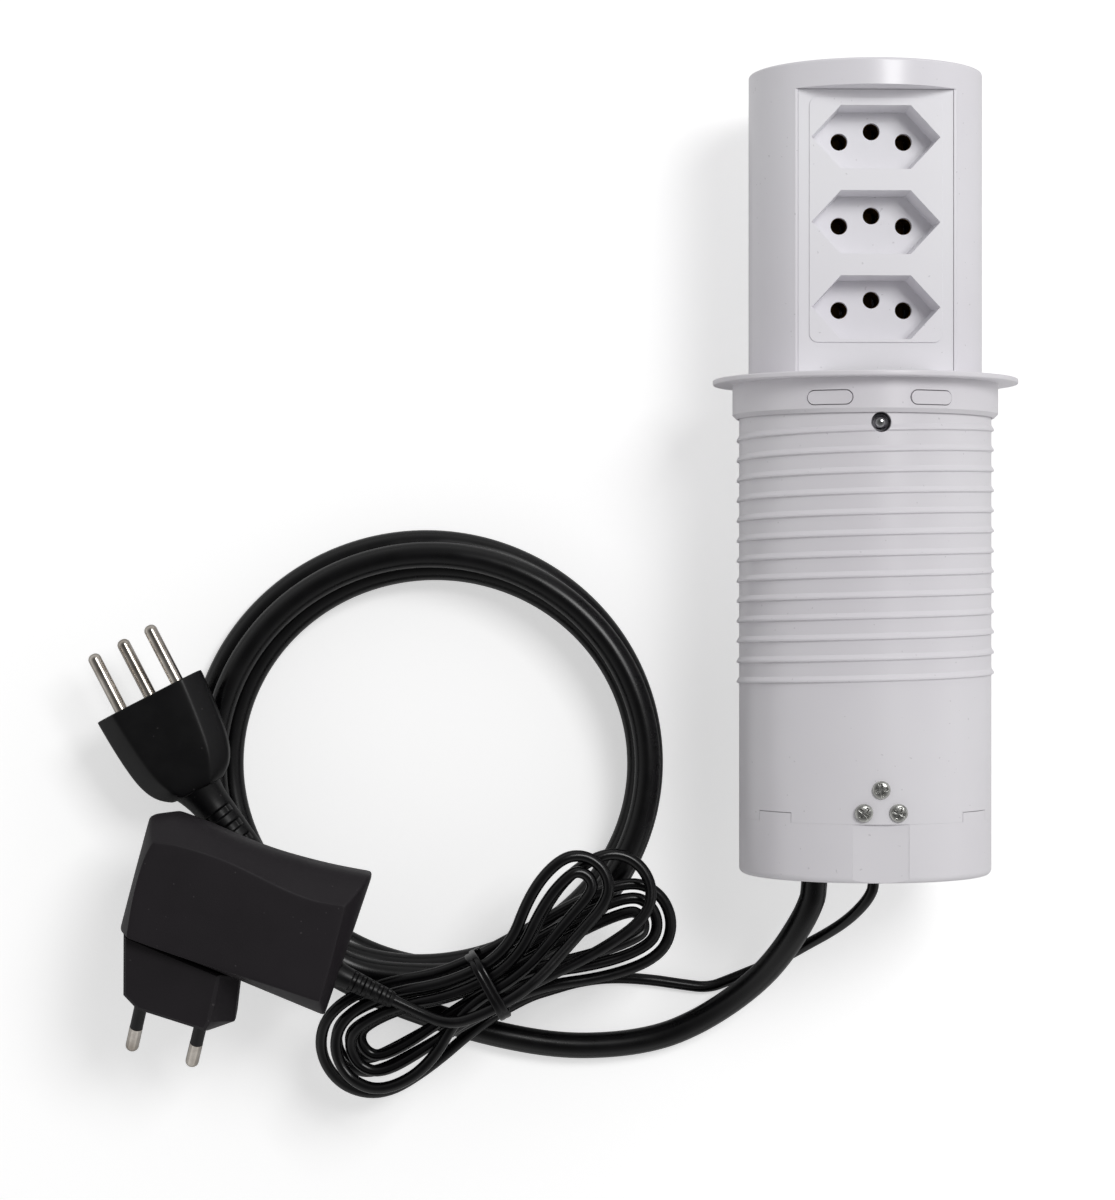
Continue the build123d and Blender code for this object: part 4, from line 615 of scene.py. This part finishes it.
# Adapter: front shell with a flat face inside sloped sides, and back shell
adapter = {
    "middle": (-184.0, -130.0), "corners": (0, 1, 7, 11, 15), "outlineHold": 1.7, "faceHold": 1.3,
    # outline at the parting line and at the face, in the same order
    "outline": [
        (-212.7, -101.4), (-205.1, -100.4), (-196.0, -103.6), (-187.0, -107.6), (-177.5, -111.4),
        (-167.5, -114.4), (-157.5, -117.0), (-146.9, -119.0), (-150.4, -129.4), (-154.0, -140.0),
        (-157.6, -150.4), (-161.1, -160.7), (-176.2, -154.3), (-191.3, -147.8), (-206.4, -141.4),
        (-221.5, -134.9), (-219.3, -126.5), (-217.1, -118.1), (-214.9, -109.8)],
    "face": [
        (-210.6, -108.2), (-204.6, -108.9), (-196.0, -111.2), (-187.0, -114.6), (-177.5, -119.6),
        (-167.5, -124.4), (-160.5, -126.2), (-154.4, -127.0), (-156.0, -132.6), (-157.8, -140.6),
        (-160.0, -148.6), (-162.0, -155.2), (-176.2, -150.4), (-191.3, -145.6), (-205.6, -141.0),
        (-218.4, -136.2), (-217.2, -127.6), (-215.4, -119.6), (-213.2, -112.6)],
    # share of the way to the face, inset towards the middle, height over the shell's low edge
    "frontLow": 45.1,
    "frontLayers": [
        (0, 0.8, 0), (0, 0.25, 0), (0, 0, 0.3), (0, 0, 3.0), (0.10, 0, 6.5), (0.46, 0, 10.5),
        (0.95, 0, 14.4), (1, 0, 14.84), (1, 0.6, 14.9), (1, 8.0, 14.9)],
    "backLow": 30.0,
    "backLayers": [
        (0, 12.0, 0), (0, 3.2, 0), (0, 2.4, 0.2), (0, 0.7, 2.2), (0, 0.3, 5.0), (0, 0, 14.5),
        (0, 0.25, 14.9), (0, 0.8, 14.9)]}
outlineCentre = Vector(adapter["middle"])


def inset(points, amount):
    # Moves each point towards the middle by a fixed distance
    moved = []
    for x, y in points:
        inward = (outlineCentre-Vector((x, y))).normalized()*amount
        moved.append((x+inward.x, y+inward.y))
    return moved


def between(first, second, share):
    return [(a[0]+(b[0]-a[0])*share, a[1]+(b[1]-a[1])*share) for a, b in zip(first, second)]


def holdCorners(points, corners, near):
    # Adds a point close to each side of the named corners, so that they stay tight
    held = []
    for index, (x, y) in enumerate(points):
        here = Vector((x, y))
        if index not in corners:
            held.append((x, y))
            continue
        before = here+(Vector(points[index-1])-here).normalized()*near
        after = here+(Vector(points[(index+1) % len(points)])-here).normalized()*near
        held += [tuple(before), (x, y), tuple(after)]
    return held


outline = holdCorners(adapter["outline"], adapter["corners"], adapter["outlineHold"])
face = holdCorners(adapter["face"], adapter["corners"], adapter["faceHold"])


def shellRows(low, layers):
    return [
        [(x, y, low+up) for x, y in inset(between(outline, face, share), amount)]
        for share, amount, up in layers]


frontRows = shellRows(adapter["frontLow"], adapter["frontLayers"])
adapterFront = loftRows("adapterFrontShell", frontRows, adapterAbs)
backRows = shellRows(adapter["backLow"], adapter["backLayers"])
adapterBack = loftRows("adapterBackShell", backRows, adapterAbs)
print("adapter and plug formed")

# Tie round the hank's waist: a flat PVC strip wound twice
tie = {
    "thick": 1.0, "wide": 2.1, "gap": 0.7, "drift": 3.24, "lean": 0.48, "turns": 2, "perTurn": 96,
    "boxPower": 0.55,
    # strip's section in half widths and half thicknesses
    "section": [(-1, -1), (-1, 1), (-0.35, 1.25), (0.35, 1.25), (1, 1), (1, -1)]}
tieLow = hank["low"]-thinCord["radius"]-tie["gap"]
tieHigh = hankHeight(1, 0, hank["waists"][-1][1])+thinCord["radius"]+tie["gap"]
tieHalf = 2*hank["step"]+thinCord["radius"]+tie["gap"]
tieRows = []
tieSteps = tie["perTurn"]*tie["turns"]
for index in range(tieSteps+1):
    angle = 2*math.pi*index/tie["perTurn"]
    cosine, sine = math.cos(angle), math.sin(angle)
    # the path is a box with round corners
    across = tieHalf*math.copysign(abs(cosine)**tie["boxPower"], cosine)
    up = (tieHigh-tieLow)/2*math.copysign(abs(sine)**tie["boxPower"], sine)
    slide = tie["drift"]*(index/tieSteps-0.5)+tie["lean"]*sine
    outDirection = (hankAcross*cosine+Vector((0, 0, sine))).normalized()
    middle = tiePlace+hankAcross*across+hankAlong*slide+Vector((0, 0, (tieLow+tieHigh)/2+up))
    tieRows.append([
        middle+hankAlong*sideways*tie["wide"]/2+outDirection*outward*tie["thick"]/2
        for sideways, outward in tie["section"]])
hankTie = loftRows("hankTie", tieRows, thinPvc, levels=1)

# Pan head screws with a cross recess, seen in the sleeve's low front
screws = {
    "at": [(0.0, -92.0), (-5.0, -98.6), (5.0, -98.6)], "turns": (12.0, 47.0, 71.0), "seat": 82.9,
    "shankLow": 74.9, "shankRadius": 1.2, "headRadius": 2.6, "headHigh": 1.15, "crown": 0.6, "crownPower": 4,
    "armLong": 1.75, "armHalf": 0.44, "armDeep": 0.95, "sideSoft": 0.09, "tipSoft": 0.2,
    "around": 96, "rings": 34}


def armShare(along, aside):
    # 1 in one arm of the cross recess, 0 outside it
    return min(
        smoothStep((screws["armHalf"]-aside)/screws["sideSoft"]+0.5),
        smoothStep((screws["armLong"]-along)/screws["tipSoft"]+0.5))


def panHead(build, centre, turnDegrees):
    # One screw: a crowned head whose middle sinks in a cross, over its shank
    turn = math.radians(turnDegrees)
    rows = []
    for step in range(1, screws["rings"]+1):
        share = step/screws["rings"]
        reach = screws["headRadius"]*share
        row = []
        for index in range(screws["around"]):
            angle = 2*math.pi*index/screws["around"]
            along = abs(reach*math.cos(angle-turn))
            aside = abs(reach*math.sin(angle-turn))
            height = screws["headHigh"]-screws["crown"]*share**screws["crownPower"]
            height -= screws["armDeep"]*max(armShare(along, aside), armShare(aside, along))
            row.append((reach*math.cos(angle), reach*math.sin(angle), height))
        rows.append(row)
    edge = rows[-1]
    shankShare = screws["shankRadius"]/screws["headRadius"]
    for share, height in [(1, 0.0), (shankShare, 0.0), (shankShare, screws["shankLow"]-screws["seat"])]:
        rows.append([(x*share, y*share, height) for x, y, edgeHeight in edge])
    rings = [[build.verts.new((centre+Vector(spot))*mm) for spot in row] for row in rows]
    middle = build.verts.new((centre+Vector((0, 0, screws["headHigh"]-screws["armDeep"])))*mm)
    for index in range(screws["around"]):
        build.faces.new((middle, rings[0][index], rings[0][(index+1) % screws["around"]]))
    skinRings(build, rings, capFirst=False)


screwBuild = bmesh.new()
for (x, y), turnDegrees in zip(screws["at"], screws["turns"]):
    panHead(screwBuild, Vector((x, y, screws["seat"])), turnDegrees)
sleeveScrews = linkMesh("sleeveScrewSet", screwBuild, zincPlate)
print("tie wound, screws turned")

# Lead from the sleeve's anchor up to the tower's gland, laid straight as it lies with the tower up
serviceLead = {
    "low": -92.4, "high": 6.6, "height": 45.4, "radius": 2.6, "stations": 66, "around": 32, "grip": 1.0}
leadBuild = bmesh.new()
leadRings = []
for station in range(serviceLead["stations"]+1):
    along = serviceLead["low"]+(serviceLead["high"]-serviceLead["low"])*station/serviceLead["stations"]
    ring = []
    for step in range(serviceLead["around"]):
        angle = 2*math.pi*step/serviceLead["around"]
        spot = Vector((math.cos(angle), 0, math.sin(angle)))*serviceLead["radius"]
        ring.append(leadBuild.verts.new((spot+Vector((0, along, serviceLead["height"])))*mm))
    leadRings.append(ring)
skinRings(leadBuild, leadRings)
foldingLead = linkMesh("foldingServiceLead", leadBuild, cordPvc)
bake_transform(foldingLead)
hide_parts("service_lead")

pieceBodies = [
    (mainsCable, ["mains_cord", "mains_cord_coil", "mains_cord_tail"], "cord_cover"),
    (thinCable, ["adapter_cord", "adapter_cord_hank", "adapter_cord_tail"], "cord_cover"),
    (plugBody, ["mains_plug_body"], "cord_cover"),
    (mainsRelief, ["mains_plug_relief"], "cord_cover"),
    (thinRelief, ["adapter_relief"], "cord_cover"),
    (adapterFront, ["adapter_front_shell"], "adapter_plastic"),
    (adapterBack, ["adapter_back_shell"], "adapter_plastic"),
    (hankTie, ["hank_tie"], "cord_cover"),
    (sleeveScrews, ["sleeve_screws"], "zinc_steel"),
]
for piece, replaced, slotName in pieceBodies:
    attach(piece, "housing")
    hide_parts(*replaced)
print("pieces ride on their bodies")

# Stage: a plain white floor that glows for the camera, one soft light from the
# upper right, and a sky that is brightest near the horizon
stage = {
    "floorHalf": 3.0, "floorHex": "#E6E6E6", "floorGlow": 0.50, "skyLow": 0.88, "skyHigh": 0.11,
    "skyFrom": 0.1, "skyTo": 0.95, "keyPlace": (0.50, 0.55, 1.45), "keyAim": (-0.08, -0.02, 0.03),
    "keySize": 0.6, "keyPower": 11.5}
floorBuild = bmesh.new()
for x, y in [(-1, -1), (1, -1), (1, 1), (-1, 1)]:
    floorBuild.verts.new((x*stage["floorHalf"], y*stage["floorHalf"], 0))
floorBuild.faces.new(floorBuild.verts[:])
floorMaterial, floorTree = newMaterial("paleFloor")
floorDiffuse = addNode(floorTree, "BsdfDiffuse", inputs={"Color": toLinear(stage["floorHex"])})
floorPath = addNode(floorTree, "LightPath")
floorGlow = addNode(floorTree, "Emission", inputs={"Color": (1, 1, 1, 1), "Strength": stage["floorGlow"]})
floorDark = addNode(floorTree, "Emission", inputs={"Color": (1, 1, 1, 1), "Strength": 0.0})
floorSeen = addNode(floorTree, "MixShader", inputs={
    0: floorPath.outputs["Is Camera Ray"], 1: floorDark.outputs[0], 2: floorGlow.outputs[0]})
floorSum = addNode(floorTree, "AddShader", inputs={0: floorDiffuse.outputs[0], 1: floorSeen.outputs[0]})
finishMaterial(floorMaterial, floorTree, floorSum)
floor = linkMesh("floor", floorBuild, floorMaterial, solid=False)

world = bpy.data.worlds.new("sky")
scene.world = world
world.use_nodes = True
worldTree = world.node_tree
worldTree.nodes.clear()
skyPlace = addNode(worldTree, "TexCoord")
skyParts = addNode(worldTree, "SeparateXYZ", inputs={"Vector": skyPlace.outputs["Generated"]})
skyLevel = addNode(worldTree, "MapRange", inputs={
    "Value": skyParts.outputs["Z"], "From Min": stage["skyFrom"], "From Max": stage["skyTo"],
    "To Min": stage["skyLow"], "To Max": stage["skyHigh"]})
skyLight = addNode(worldTree, "Background", inputs={
    "Color": (1, 1, 1, 1), "Strength": skyLevel.outputs["Result"]})
addNode(worldTree, "OutputWorld", inputs={"Surface": skyLight.outputs[0]})

keyData = bpy.data.lights.new("keyLight", "AREA")
keyData.size = stage["keySize"]
keyData.energy = stage["keyPower"]
keyLight = bpy.data.objects.new("keyLight", keyData)
keyLight.location = stage["keyPlace"]
aim = Vector(stage["keyAim"])-keyLight.location
keyLight.rotation_euler = aim.to_track_quat("-Z", "Y").to_euler()
scene.collection.objects.link(keyLight)
print("stage lit")
